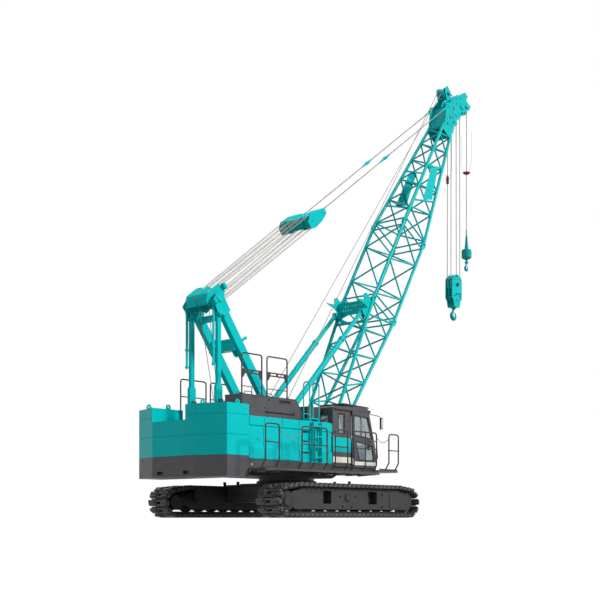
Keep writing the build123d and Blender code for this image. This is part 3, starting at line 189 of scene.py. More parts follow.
class Shape:
    """Collects tubes, plates and turned forms, then makes one object of them."""

    def __init__(self):
        self.points = []
        self.faces = []
        self.turns = []

    def add(self, points, faces, turns=None):
        first = len(self.points)
        self.points += [tuple(p) for p in points]
        self.faces += [tuple(first + k for k in face) for face in faces]
        self.turns += turns or [(0.0, 0.0)] * len(points)

    def tube(self, path, radius, sides=12, ends=True):
        """A round tube along a path of points, mitred at its corners, of one radius or one for each point."""
        path = [Vector(p) for p in path]
        radii = radius if isinstance(radius, list) else [radius] * len(path)
        legs = [(b - a).normalized() for a, b in zip(path, path[1:])]
        first = legs[0].cross(Vector((0, 1, 0)))
        first = (first if first.length > 0.1 else legs[0].cross(Vector((0, 0, 1)))).normalized()
        points, turns, reach = [], [], 0.0
        for k, centre in enumerate(path):
            before, after = legs[max(k - 1, 0)], legs[min(k, len(legs) - 1)]
            first = (first - after * first.dot(after)).normalized()
            second = after.cross(first)
            normal = (before + after).normalized()
            if k:
                reach += (centre - path[k - 1]).length
            for s in range(sides):
                turn = 2 * math.pi * s / sides
                arm = first * (radii[k] * math.cos(turn)) + second * (radii[k] * math.sin(turn))
                arm -= after * (arm.dot(normal) / after.dot(normal))
                points.append(centre + arm)
                turns.append((s / sides, reach))
        faces = []
        for k in range(len(path) - 1):
            for s in range(sides):
                a, b = k * sides + s, k * sides + (s + 1) % sides
                faces.append((a, b, b + sides, a + sides))
        if ends:
            faces.append(tuple(reversed(range(sides))))
            faces.append(tuple(range((len(path) - 1) * sides, len(path) * sides)))
        self.add(points, faces, turns)

    def prism(self, outline, holes, push):
        """Flat outlines of space points, with holes, pushed along a vector."""
        rings = [[Vector(p) for p in ring] for ring in (outline, *holes)]
        flat = [p for ring in rings for p in ring]
        push = Vector(push)
        count = len(flat)
        faces = []
        for tri in tessellate_polygon(rings):
            a, b, c = (flat[k] for k in tri)
            low = tri if (b - a).cross(c - a).dot(push) < 0 else tuple(reversed(tri))
            faces.append(tuple(low))
            faces.append(tuple(k + count for k in reversed(low)))
        first = 0
        for ring in rings:
            size = len(ring)
            for k in range(size):
                a, b = first + k, first + (k + 1) % size
                faces.append((a, b, b + count, a + count))
            first += size
        self.add(flat + [p + push for p in flat], faces)

    def side_plate(self, outline, y0, y1, holes=()):
        """An outline of (x, z) points between two values of Y."""
        self.prism([(x, y0, z) for x, z in outline], [[(x, y0, z) for x, z in hole] for hole in holes],
                   (0, y1 - y0, 0))

    def block(self, x0, x1, y0, y1, z0, z1):
        """A box between two corners."""
        self.prism([(x0, y0, z0), (x1, y0, z0), (x1, y1, z0), (x0, y1, z0)], [], (0, 0, z1 - z0))

    def panel(self, x0, x1, z0, z1, y0, y1, holes=()):
        """An upright rectangle between two values of Y."""
        self.side_plate(oblong(x0, x1, z0, z1), y0, y1, holes)

    def bent(self, path, bend, radius, sides):
        """A round tube along a path, with its corners bent to a radius."""
        self.tube(rounded(path, bend), radius, sides)

    def turned(self, base, axis, profile, sides=32):
        """A form turned about an axis, from a profile of (distance along it, radius) rows."""
        base, axis = Vector(base), Vector(axis).normalized()
        first = axis.orthogonal().normalized()
        second = axis.cross(first)
        points = []
        for along, radius in profile:
            for s in range(sides):
                turn = 2 * math.pi * s / sides
                across = first * (radius * math.cos(turn))
                points.append(base + axis * along + across + second * (radius * math.sin(turn)))
        faces = []
        for k in range(len(profile) - 1):
            for s in range(sides):
                a, b = k * sides + s, k * sides + (s + 1) % sides
                faces.append((a, b, b + sides, a + sides))
        faces.append(tuple(reversed(range(sides))))
        faces.append(tuple(range((len(profile) - 1) * sides, len(profile) * sides)))
        self.add(points, faces)

    def make(self, name, slot, body=None, edge=0.0, smooth=35):
        """One object with a finish, riding on a body if one is named."""
        mesh = bpy.data.meshes.new(name)
        mesh.from_pydata(self.points, [], self.faces)
        layer = mesh.uv_layers.new(name="rope")
        for loop in mesh.loops:
            layer.data[loop.index].uv = self.turns[loop.vertex_index]
        mesh.validate()
        work = bmesh.new()
        work.from_mesh(mesh)
        bmesh.ops.recalc_face_normals(work, faces=work.faces)
        work.to_mesh(mesh)
        work.free()
        mesh.shade_smooth()
        mesh.set_sharp_from_angle(angle=math.radians(smooth))
        mesh.materials.append(FINISHES[slot])
        piece = bpy.data.objects.new(name, mesh)
        bpy.context.scene.collection.objects.link(piece)
        if edge:
            bevel = piece.modifiers.new("edge", "BEVEL")
            bevel.width, bevel.segments, bevel.limit_method = edge, 2, "ANGLE"
            bevel.angle_limit = math.radians(smooth)
        if body:
            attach(piece, body)
        return piece


def rounded(path, radius, steps=5):
    """The same path with its corners turned into curves."""
    path = [Vector(p) for p in path]
    made = [path[0]]
    for a, b, c in zip(path, path[1:], path[2:]):
        before, after = (b - a), (c - b)
        bend = before.angle(after)
        cut = min(radius * math.tan(bend / 2), before.length * 0.49, after.length * 0.49)
        start, end = b - before.normalized() * cut, b + after.normalized() * cut
        for k in range(steps + 1):
            t = k / steps
            made.append(start * (1 - t) ** 2 + b * (2 * t * (1 - t)) + end * t ** 2)
    return made + [path[-1]]


def oblong(x0, x1, z0, z1):
    """A rectangle's corners, as (x, z) points."""
    return [(x0, z0), (x1, z0), (x1, z1), (x0, z1)]


def rounded_box(x0, x1, z0, z1, radius, steps=4):
    """A rectangle with round corners, as (x, z) points."""
    made = []
    left, right, low, high = x0 + radius, x1 - radius, z0 + radius, z1 - radius
    for cx, cz, start in ((right, high, 0), (left, high, 90), (left, low, 180), (right, low, 270)):
        for k in range(steps + 1):
            turn = math.radians(start + 90 * k / steps)
            made.append((cx + radius * math.cos(turn), cz + radius * math.sin(turn)))
    return made


# Finishes

class Nodes:
    """Short calls for building one material's node tree."""

    def __init__(self, name):
        self.material = bpy.data.materials.new(name)
        self.material.use_nodes = True
        self.tree = self.material.node_tree
        self.shader = self.tree.nodes["Principled BSDF"]
        self.place = self.add("ShaderNodeTexCoord").outputs["Object"]

    def add(self, kind, **settings):
        node = self.tree.nodes.new(kind)
        for key, value in settings.items():
            setattr(node, key, value)
        return node

    def put(self, socket, value):
        if isinstance(value, bpy.types.NodeSocket):
            self.tree.links.new(value, socket)
        else:
            socket.default_value = value

    def surface(self, name, value):
        self.put(self.shader.inputs[name], value)

    def noise(self, scale, detail=4.0, rough=0.55, stretch=(1, 1, 1)):
        place = self.place
        if stretch != (1, 1, 1):
            mapping = self.add("ShaderNodeMapping")
            mapping.inputs["Scale"].default_value = stretch
            self.put(mapping.inputs["Vector"], place)
            place = mapping.outputs["Vector"]
        node = self.add("ShaderNodeTexNoise")
        self.put(node.inputs["Vector"], place)
        node.inputs["Scale"].default_value = scale
        node.inputs["Detail"].default_value = detail
        node.inputs["Roughness"].default_value = rough
        return node.outputs["Fac"]

    def span(self, value, low, high, to_low=0.0, to_high=1.0):
        node = self.add("ShaderNodeMapRange", interpolation_type="SMOOTHSTEP")
        names = ("Value", "From Min", "From Max", "To Min", "To Max")
        for name, number in zip(names, (value, low, high, to_low, to_high)):
            self.put(node.inputs[name], number)
        return node.outputs["Result"]

    def math(self, operation, a, b=0.0):
        node = self.add("ShaderNodeMath", operation=operation)
        self.put(node.inputs[0], a)
        self.put(node.inputs[1], b)
        return node.outputs["Value"]

    def mix(self, amount, a, b):
        node = self.add("ShaderNodeMix", data_type="RGBA")
        self.put(node.inputs["Factor"], amount)
        self.put(node.inputs["A"], a)
        self.put(node.inputs["B"], b)
        return node.outputs["Result"]

    def edges(self, radius):
        """A mask of sharp edges, and the softened normal."""
        bevel = self.add("ShaderNodeBevel", samples=4)
        bevel.inputs["Radius"].default_value = radius
        dot = self.add("ShaderNodeVectorMath", operation="DOT_PRODUCT")
        self.put(dot.inputs[0], bevel.outputs["Normal"])
        self.put(dot.inputs[1], self.add("ShaderNodeNewGeometry").outputs["True Normal"])
        return self.span(dot.outputs["Value"], 0.93, 0.72), bevel.outputs["Normal"]

    def bump(self, height, strength, distance, normal=None):
        node = self.add("ShaderNodeBump")
        node.inputs["Strength"].default_value = strength
        node.inputs["Distance"].default_value = distance
        self.put(node.inputs["Height"], height)
        if normal:
            self.put(node.inputs["Normal"], normal)
        return node.outputs["Normal"]


def rgb(red, green, blue):
    """A colour from screen values of 0 to 255."""
    def linear(value):
        value /= 255
        return value / 12.92 if value <= 0.04045 else ((value + 0.055) / 1.055) ** 2.4
    return (linear(red), linear(green), linear(blue), 1.0)


def paint(name, colour, faded, dirt, rough, dirt_amount=0.35, wear=None, metallic=0.0, coat=0.0, grain=0.15,
          low_dust=0.0, edge=0.006, shine=0.3):
    """Paint or bare metal with uneven tone, rain streaks, dust near the ground and worn edges."""
    n = Nodes(name)
    tone = n.mix(n.span(n.noise(1.1, 5), 0.35, 0.7), colour, faded)
    streaks = n.span(n.noise(5.0, 3, 0.6, (1, 1, 0.12)), 0.52, 0.78)
    patches = n.span(n.noise(2.3, 6, 0.65), 0.45, 0.75)
    soil = n.math("MULTIPLY", n.math("MULTIPLY", streaks, patches), dirt_amount)
    if low_dust:
        height = n.add("ShaderNodeSeparateXYZ")
        n.put(height.inputs["Vector"], n.place)
        near = n.span(height.outputs["Z"], 1.3, 0.1, 0.0, low_dust)
        dust = n.span(n.noise(7.0, 8, 0.7), 0.3, 0.7, 0.25, 1.0)
        soil = n.math("MAXIMUM", soil, n.math("MULTIPLY", near, dust))
    tone = n.mix(soil, tone, dirt)
    mask, soft = n.edges(edge)
    if wear:
        chips = n.math("MULTIPLY", mask, n.span(n.noise(14.0, 6, 0.7), 0.48, 0.6))
        tone = n.mix(chips, tone, wear)
    n.surface("Base Color", tone)
    n.surface("Roughness", n.span(n.noise(9.0, 5), 0.3, 0.7, rough - 0.06, rough + 0.08))
    n.surface("Metallic", metallic)
    n.surface("Specular IOR Level", shine)
    n.surface("Coat Weight", coat)
    n.surface("Coat Roughness", 0.12)
    n.surface("Normal", n.bump(n.noise(220.0, 2), grain, 0.0008, soft))
    return n.material


def rope_finish(name, colour, dark):
    """Laid steel wire, with slanting strands across the rope, painted darker in the grooves between them as
    painted shade, and darker greasy patches.
    """
    n = Nodes(name)
    along = n.add("ShaderNodeUVMap", uv_map="rope")
    split = n.add("ShaderNodeSeparateXYZ")
    n.put(split.inputs["Vector"], along.outputs["UV"])
    round_it = n.math("MULTIPLY", split.outputs["X"], 6.0)
    lay = n.math("ADD", round_it, n.math("MULTIPLY", split.outputs["Y"], 40.0))
    strand = n.math("ABSOLUTE", n.math("SINE", n.math("MULTIPLY", lay, math.pi)))
    grease = n.span(n.noise(3.0, 5), 0.4, 0.65)
    # The colour is darker in the grooves between strands and lighter on their crests: painted shade. The
    # grease patches are real.
    share = n.math("MULTIPLY", strand, 0.3)
    n.surface("Base Color", n.mix(share, dark, n.mix(grease, colour, dark)))
    n.surface("Metallic", 0.2)
    n.surface("Roughness", n.span(grease, 0.0, 1.0, 0.42, 0.6))
    n.surface("Normal", n.bump(strand, 0.6, 0.003))
    return n.material


def fabric(name, light, dark):
    """Woven seat cloth, with fine crossing threads and a soft sheen."""
    n = Nodes(name)
    weave = n.math("MAXIMUM", n.span(n.noise(340.0, 2, 0.5, (1, 0.15, 1)), 0.45, 0.6),
                   n.span(n.noise(340.0, 2, 0.5, (0.15, 1, 1)), 0.45, 0.6))
    n.surface("Base Color", n.mix(weave, dark, n.mix(n.noise(4.0, 5), light, dark)))
    n.surface("Roughness", n.span(weave, 0.0, 1.0, 0.95, 0.8))
    n.surface("Sheen Weight", 0.3)
    n.surface("Normal", n.bump(weave, 0.5, 0.001))
    return n.material


def glass_finish(name, colour):
    """Half-opaque cab glass painted a pale grey-blue, painted light for the bright background seen through the
    cab, with a light dust film.
    """
    n = Nodes(name)
    film = n.span(n.noise(2.0, 4), 0.4, 0.7, 0.0, 0.25)
    # The pale base colour is painted light for the background seen through the cab; the lighter patches are a
    # real dust film.
    n.surface("Base Color", n.mix(film, colour, rgb(205, 212, 214)))
    n.surface("Roughness", n.span(n.noise(6.0, 5), 0.45, 0.75, 0.02, 0.12))
    n.surface("Alpha", 0.38)
    return n.material


SOIL = rgb(96, 88, 74)
FINISHES = {
    "teal_paint": paint("teal_paint", rgb(0, 198, 199), rgb(0, 190, 192), rgb(8, 142, 144), 0.3, 0.06,
                        rgb(30, 205, 205), coat=0.03, grain=0.03, edge=0.004, shine=0.08),
    "dark_grey_paint": paint("dark_grey_paint", rgb(76, 75, 80), rgb(66, 65, 70), rgb(98, 94, 88), 0.45, 0.3,
                             rgb(120, 120, 124), coat=0.08, grain=0.12),
    "undercarriage_black": paint("undercarriage_black", rgb(50, 50, 53), rgb(42, 42, 45), rgb(76, 73, 68),
                                 0.55, 0.3, rgb(90, 90, 90), low_dust=0.08),
    "rail_black": paint("rail_black", rgb(58, 57, 61), rgb(48, 47, 51), SOIL, 0.42, 0.2, rgb(110, 108, 106)),
    "shoe_steel": paint("shoe_steel", rgb(82, 84, 81), rgb(62, 64, 62), rgb(96, 92, 82), 0.55, 0.4,
                        rgb(150, 150, 146), metallic=0.35, grain=0.4, low_dust=0.15),
    "rope_steel": rope_finish("rope_steel", rgb(178, 171, 162), rgb(140, 133, 124)),
    "hook_steel": paint("hook_steel", rgb(0, 176, 178), rgb(0, 160, 162), rgb(10, 110, 112), 0.38, 0.3,
                        rgb(80, 160, 160), grain=0.1, shine=0.15),
    "ball_paint": paint("ball_paint", rgb(0, 170, 172), rgb(0, 156, 158), rgb(10, 106, 108), 0.4, 0.3,
                        rgb(80, 160, 160), grain=0.1, shine=0.15),
    "primer_red": paint("primer_red", rgb(150, 60, 48), rgb(128, 52, 42), rgb(90, 60, 50), 0.55, 0.3,
                        rgb(150, 110, 100), grain=0.2),
    # Pale grey-blue: painted light for the bright background seen through the cab.
    "window_glass": glass_finish("window_glass", rgb(150, 168, 174)),
    "ivory_paint": paint("ivory_paint", rgb(232, 230, 217), rgb(224, 221, 206), rgb(150, 140, 122),
                         0.36, 0.25, coat=0.1, grain=0.05),
    "rubber": paint("rubber", rgb(24, 24, 26), rgb(32, 32, 34), rgb(70, 66, 60), 0.7, 0.3, grain=0.3),
    "brown_panel": paint("brown_panel", rgb(88, 85, 78), rgb(76, 73, 67), SOIL, 0.5, 0.4, rgb(120, 116, 108),
                         low_dust=0.3),
    "mirror_glass": paint("mirror_glass", rgb(205, 212, 216), rgb(196, 204, 208), rgb(120, 120, 116),
                          0.08, 0.1, metallic=1.0, grain=0.0),
    "amber_plastic": paint("amber_plastic", rgb(214, 190, 40), rgb(204, 178, 36), rgb(120, 104, 40),
                           0.25, 0.2, grain=0.0),
    "seat_fabric": fabric("seat_fabric", rgb(58, 62, 70), rgb(36, 38, 44)),
}


def dress_nodes():
    """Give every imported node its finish."""
    for row in frame["record"]["subparts"]:
        mesh = frame["nodes"][row["node"]].data
        mesh.materials.clear()
        mesh.materials.append(FINISHES[row["material_slot"]])


# Boom and ropes

def spot(along, off, y=0.0):
    """A space point from a distance along the boom and off its axis."""
    return Vector((BOOM_FOOT[0] + along * math.cos(BOOM_ANGLE) - off * math.sin(BOOM_ANGLE), y,
                   BOOM_FOOT[1] + along * math.sin(BOOM_ANGLE) + off * math.cos(BOOM_ANGLE)))


def rope_spot(along, off, y=0.0):
    """A space point on the luffing line, from the gantry pin towards the boom head."""
    end = spot(*PENDANT_PIN)
    turn = math.atan2(end.z - GANTRY_PIN[1], end.x - GANTRY_PIN[0])
    return Vector((GANTRY_PIN[0] + along * math.cos(turn) - off * math.sin(turn), y,
                   GANTRY_PIN[1] + along * math.sin(turn) + off * math.cos(turn)))


def arc(centre, radius, start, end, y, steps=10):
    """Points on an arc about an (x, z) centre at one Y, by angles in degrees from +X towards +Z."""
    made = []
    for k in range(steps + 1):
        turn = math.radians(start + (end - start) * k / steps)
        made.append((centre[0] + radius * math.cos(turn), y, centre[1] + radius * math.sin(turn)))
    return made


def line_angle(a, b):
    """The angle of the line from a to b in the XZ plane, in degrees."""
    return math.degrees(math.atan2(b[2] - a[2], b[0] - a[0]))


def shape_at(along):
    """Half width and half depth of the boom between its chords' centres."""
    for (s0, w0, d0), (s1, w1, d1) in zip(BOOM_SHAPE, BOOM_SHAPE[1:]):
        if along <= s1:
            part = (along - s0) / (s1 - s0)
            return w0 + (w1 - w0) * part, d0 + (d1 - d0) * part
    return BOOM_SHAPE[-1][1:]


def corner(along, side, face):
    """A point on one of the four chords."""
    width, depth = shape_at(along)
    return spot(along, face * depth, side * width)


def boom_tubes():
    """Round chords and lacings of the three boom sections, with a weld bead where a lacing meets a chord."""
    for node, start, end, first, stops in BOOM_SECTIONS:
        shape = Shape()
        bends = [start] + [row[0] for row in BOOM_SHAPE if start < row[0] < end] + [end]
        for side in (-1, 1):
            for face in (-1, 1):
                shape.tube([corner(s, side, face) for s in bends], CHORD_RADIUS, 20)
        legs = []
        for k, (s0, s1) in enumerate(zip(stops, stops[1:])):
            flip = -first if k % 2 else first
            legs += [(corner(s0, side, -side * flip), corner(s1, side, side * flip)) for side in (-1, 1)]
            legs += [(corner(s0, -face * flip, face), corner(s1, face * flip, face)) for face in (-1, 1)]
        for s in (stops[0] - 0.03, stops[-1] + 0.03):
            legs += [(corner(s, side, 1), corner(s, side, -1)) for side in (-1, 1)]
            legs += [(corner(s, 1, face), corner(s, -1, face)) for face in (-1, 1)]
        for a, b in legs:
            shape.tube([a, b], LACING_RADIUS, 12, ends=False)
            along = (b - a).normalized()
            for end_at, way in ((a, along), (b, -along)):
                bead = [end_at + way * (CHORD_RADIUS * 0.96), end_at + way * (CHORD_RADIUS + 0.014)]
                shape.tube(bead, LACING_RADIUS + 0.006, 12)
        piece = shape.make(f"{node}_tubes", "teal_paint", "boom")
        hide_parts(node)


def sheave(shape, centre, y, radius, half=0.026, bore=0.046):
    """A rope sheave with its groove, web and hub."""
    rows = [(-half - 0.004, bore), (-half - 0.004, bore * 1.8), (-half * 0.35, bore * 1.9),
            (-half * 0.35, radius * 0.82), (-half, radius * 0.84), (-half, radius + 0.008),
            (-half * 0.8, radius + 0.01), (-half * 0.35, radius - 0.022)]
    rows += [(0, radius - 0.027)] + [(-along, reach) for along, reach in reversed(rows)]
    shape.turned((centre[0], y, centre[1]), (0, 1, 0), rows, 40)


def sheaves():
    """Grooved sheaves at the gantry and on the boom head."""
    # Node, body, centre, places across, radius, half width, bore
    sets = (
        ("luffing_sheaves", "luffing_line", GANTRY_PIN, GANTRY_SHEAVES,
         GANTRY_SHEAVE_RADIUS - 0.01, 0.02, 0.055),
        ("main_head_sheaves", "main_falls", spot(*MAIN_SHEAVE).xz, MAIN_SHEAVES,
         MAIN_SHEAVE_RADIUS, 0.026, 0.045),
        ("aux_head_sheave", "aux_fall", spot(*AUX_SHEAVE).xz, (0.0,), AUX_SHEAVE_RADIUS, 0.026, 0.04))
    for node, body, centre, rows, radius, half, bore in sets:
        shape = Shape()
        for y in rows:
            sheave(shape, centre, y, radius, half, bore)
        piece = shape.make(f"{node}_grooved", "teal_paint", body)
        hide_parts(node)


def luffing_ropes():
    """Rope parts between the gantry's sheaves and the bridle's, and the two lead ropes down to their drum."""
    shape = Shape()
    lift = line_angle(rope_spot(0, 0), rope_spot(1, 0))
    bridle = rope_spot(BRIDLE_SHEAVE_AT, 0)
    for y0, y1 in zip(GANTRY_SHEAVES, BRIDLE_SHEAVES):
        back = arc(GANTRY_PIN, GANTRY_SHEAVE_RADIUS - 0.024, lift + 270, lift + 90, y0)
        front = arc((bridle.x, bridle.z), BRIDLE_SHEAVE_RADIUS, lift + 90, lift - 90, y1)
        shape.tube(back + front + back[:1], LUFF_ROPE_RADIUS, 8, ends=False)
    piece = shape.make("luffing_ropes", "rope_steel")
    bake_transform(piece)
    shape = Shape()
    x, z, radius = LUFFING_DRUM
    drum_x = x - radius - ROPE_RADIUS
    for y0, y1 in ((-0.105, -0.03), (0.245, 0.03)):
        shape.tube([(-3.03, y0, 5.37), (drum_x, y1, z + 0.05), (drum_x, y1, z)], ROPE_RADIUS, 8)
    shape.make("luffing_lead_ropes", "rope_steel", "upper")


def line_tube(shape, places, y, radius, sides=16):
    """A tube along the luffing line, through distances along it."""
    shape.tube([rope_spot(along, 0, y) for along in places], radius, sides)


def line_pin(shape, along, y0, y1, radius, sides):
    """A pin across the luffing line."""
    shape.tube([rope_spot(along, 0, y0), rope_spot(along, 0, y1)], radius, sides)


def pendants():
    """The two stay ropes from the bridle to the boom head, each with flat end links and a coupling."""
    start = BRIDLE_SHEAVE_AT + 0.54
    reach = (spot(*PENDANT_PIN) - rope_spot(0, 0)).length
    mid = PENDANT_JOINT
    ropes = Shape()
    links = Shape()
    for side in (-1, 1):
        y = side * PENDANT_Y
        line_tube(ropes, (start + 0.3, reach - 0.34), y, PENDANT_RADIUS, 12)
        for first, last, wide in ((start, start + 0.3, 0.05), (reach, reach - 0.34, 0.055)):
            way = 1 if last > first else -1
            neck = last - way * 0.08
            outline = [(first, -wide), (first - way * wide * 0.8, -wide * 0.6), (first - way * wide, 0),
                       (first - way * wide * 0.8, wide * 0.6), (first, wide), (neck, 0.024), (neck, -0.024)]
            links.prism([rope_spot(along, off, y - 0.017) for along, off in outline], [], (0, 0.034, 0))
            socket = (last - way * 0.1, last - way * 0.04, last + way * 0.12)
            line_tube(links, socket, y, [0.026, 0.032, 0.019])
            line_pin(links, first, y - 0.03, y + 0.03, 0.03, 20)
        for way in (-1, 1):
            line_tube(links, (mid + way * 0.07, mid + way * 0.14, mid + way * 0.34), y, [0.034, 0.034, 0.018])
            line_pin(links, mid + way * 0.05, y - 0.05, y + 0.05, 0.022, 16)
        for push in (-0.034, 0.026):
            plate = [rope_spot(mid + along, off, y + push) for along, off in PENDANT_PLATE]
            links.prism(plate, [], (0, 0.008, 0))
        line_pin(links, reach, y, side * PENDANT_PIN_Y, 0.03, 20)
    piece = ropes.make("pendant_ropes", "rope_steel", "bridle")
    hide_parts("pendants")
    links.make("pendant_links", "teal_paint", "bridle", edge=0.002)


def forged_hook(node, drop, size):
    """A forged hook that tapers to its tip, with a collared shank and a latch, in a packed hook's place."""
    low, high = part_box(node)
    x, stem = (low.x + high.x) / 2, high.z
    top = stem - drop
    shape = Shape()
    shape.tube([(x, 0, stem), (x, 0, top - 0.02)], 0.04 * size, 20)
    collar = [(0, 0.05 * size), (0.02, 0.085 * size), (0.07 * size, 0.085 * size), (0.1 * size, 0.06 * size)]
    shape.turned((x, 0, top - 0.02), (0, 0, 1), collar, 24)
    path, radii = [(x, 0, top), (x, 0, top - 0.05 * size)], [0.036 * size, 0.036 * size]
    bend = 0.105 * size
    centre = top - 0.23 * size
    for k in range(17):
        turn = math.radians(118 + 17.5 * k)
        part = k / 16
        path.append((x + bend * math.cos(turn), 0, centre + bend * math.sin(turn)))
        swell = 0.033 + 0.026 * math.sin(math.pi * min(part * 1.15, 1.0)) ** 0.8
        radii.append(size * swell * (1.0 - 0.55 * part ** 4))
    shape.tube(path, radii, 16)
    nut = [(0, 0.036 * size), (0.01, 0.055 * size), (0.05 * size, 0.055 * size), (0.06 * size, 0.04 * size)]
    shape.turned((x, 0, top - 0.06 * size), (0, 0, 1), nut, 24)
    latch = [(x - 0.02 * size, 0, top - 0.12 * size), (x + 0.05 * size, 0, top - 0.16 * size),
             (x + bend * 0.94, 0, centre + 0.01)]
    shape.tube(latch, [0.008 * size, 0.011 * size, 0.008 * size], 8)
    piece = shape.make(f"{node}_forged", "hook_steel", node)
    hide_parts(node)


def fall_ropes():
    """The hook block's falls and the auxiliary fall with its clips."""
    head = spot(*MAIN_SHEAVE)
    shape = Shape()
    for y in MAIN_SHEAVES[1:3]:
        top = arc((head.x, head.z), MAIN_SHEAVE_RADIUS - 0.012, 180, 0, y)
        low = arc((head.x, BLOCK_SHEAVE_Z), MAIN_SHEAVE_RADIUS, 0, -180, y)
        shape.tube(top + low + top[:1], ROPE_RADIUS + 0.003, 8, ends=False)
    piece = shape.make("main_falls_ropes", "rope_steel")
    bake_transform(piece)

    aux = spot(*AUX_SHEAVE)
    fall_x = aux.x + AUX_SHEAVE_RADIUS
    shape = Shape()
    top = arc((aux.x, aux.z), AUX_SHEAVE_RADIUS, 120, 0, 0)
    shape.tube(top + [(fall_x, 0, BALL_TOP_Z - 0.05)], ROPE_RADIUS + 0.003, 8)
    piece = shape.make("aux_fall_rope", "rope_steel")
    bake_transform(piece)
    clips = Shape()
    for z in (9.56, 9.62, 9.68):
        rows = [(0, 0.016), (0.004, 0.026), (0.02, 0.026), (0.024, 0.016)]
        clips.turned((fall_x, 0, z - 0.012), (0, 0, 1), rows, 12)
        clips.tube([(fall_x - 0.04, -0.012, z), (fall_x - 0.04, 0.012, z)], 0.012, 8)
        clips.tube([(fall_x - 0.04, 0, z), (fall_x, 0, z)], 0.01, 8)
    clips.make("aux_rope_clips", "hook_steel", "aux_ball")


def limit_weights():
    """The small weights round the falls that work the hoist limit switches, each hung on two thin cords."""
    head, aux = spot(*MAIN_SHEAVE), spot(*AUX_SHEAVE)
    # Name, body, x, y, z, reach of the cords at the weight and above it, top of the cords, profile
    weights = (
        ("main_limit_weight", "main_falls", head.x - MAIN_SHEAVE_RADIUS + 0.012, 0.07, 11.03, 0.03, 0.16, 13.2,
         [(0, 0.02), (0.01, 0.045), (0.2, 0.05), (0.22, 0.038), (0.27, 0.035), (0.29, 0.018)]),
        ("aux_limit_weight", "aux_fall", aux.x + AUX_SHEAVE_RADIUS, 0.0, 11.57, 0.11, 0.2, 12.95,
         [(0, 0.02), (0.008, 0.06), (0.05, 0.125), (0.07, 0.13), (0.085, 0.1), (0.1, 0.02)]))
    for name, body, x, y, z, rim, spread, end, rows in weights:
        weight = Shape()
        weight.turned((x, y, z), (0, 0, 1), rows, 28)
        weight.make(name, "primer_red", body)
        cords = Shape()
        for side in (-1, 1):
            outer = y + side * spread
            cords.tube([(x, y + side * rim, z + 0.08), (x, outer, z + 0.4), (x, outer, end)], 0.0035, 6)
        cords.make(f"{name}_cord", "rope_steel", body)


def hoist_ropes():
    """Ropes from the winches to the head's guide discs, then over the head sheaves."""
    guide = spot(*GUIDE_SHEAVE)
    for name, (x, z, radius, y) in zip(("main", "aux"), DRUMS):
        lift = math.degrees(math.atan2(guide.z - z, guide.x - x))
        drum = arc((x, z), radius + ROPE_RADIUS, lift - 150, lift + 90, y, 16)
        over = arc((guide.x, guide.z), GUIDE_SHEAVE_RADIUS + 0.004, lift + 90, lift - 10, y)
        shape = Shape()
        shape.tube(drum + over, ROPE_RADIUS, 8)
        piece = shape.make(f"{name}_hoist_rope", "rope_steel")
        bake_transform(piece)
    bridge = Shape()
    for y, place, radius in ((-0.1, MAIN_SHEAVE, MAIN_SHEAVE_RADIUS), (0.1, AUX_SHEAVE, AUX_SHEAVE_RADIUS)):
        centre = spot(*place)
        turn = line_angle(guide, centre)
        over = arc((guide.x, guide.z), GUIDE_SHEAVE_RADIUS + 0.004, turn + 110, turn + 90, y, 4)
        down = arc((centre.x, centre.z), radius + 0.004, turn + 90, turn + 40, y * 0.5, 6)
        bridge.tube(over + down, ROPE_RADIUS, 8)
    bridge.make("head_ropes", "rope_steel", "boom")


def drum_laps(count=24, reach=0.21):
    """The rope's laps on each winch drum."""
    half = reach / count
    for name, x, z, radius in (("main", *DRUMS[0][:3]), ("aux", *DRUMS[1][:3]), ("luffing", *LUFFING_DRUM)):
        laps = Shape()
        rows = [(-0.218, radius)]
        for k in range(count):
            at = -reach + 2 * reach * (k + 0.5) / count
            rows += [(at - half * 0.9, radius + 0.002), (at - half * 0.5, radius + 0.012),
                     (at + half * 0.5, radius + 0.012), (at + half * 0.9, radius + 0.002)]
        rows.append((0.218, radius))
        laps.turned((x, 0, z), (0, 1, 0), rows, 40)
        laps.make(f"{name}_drum_laps", "rope_steel", "upper")


# Tracks

def track_path(count, out=0.0):
    """Points at even steps round the track's centre path, each pushed outwards by out, in the XZ plane."""
    radius = WHEEL_Z - LUG_DEPTH - SHOE_THICK
    low, high = WHEEL_Z - radius, TRACK_TOP - LUG_DEPTH - SHOE_THICK
    corners = [(-WHEEL_X, low), (WHEEL_X, low)]
    corners += [(x, z) for x, _, z in arc((WHEEL_X, WHEEL_Z), radius, -75, 75, 0)]
    corners += [(WHEEL_X - 0.04, WHEEL_Z + radius), (2.05, high), (-2.05, high),
                (-WHEEL_X + 0.04, WHEEL_Z + radius)]
    corners += [(x, z) for x, _, z in arc((-WHEEL_X, WHEEL_Z), radius, 105, 255, 0)]
    legs = list(zip(corners, corners[1:] + corners[:1]))
    lengths = [math.dist(a, b) for a, b in legs]
    spots = []
    for k in range(count):
        left, row = k * sum(lengths) / count, 0
        while left > lengths[row]:
            left, row = left - lengths[row], row + 1
        (x0, z0), (x1, z1) = legs[row]
        part = left / lengths[row]
        dx, dz = (x1 - x0) / lengths[row], (z1 - z0) / lengths[row]
        spots.append(Vector((x0 + (x1 - x0) * part + dz * out, 0, z0 + (z1 - z0) * part - dx * out)))
    return spots


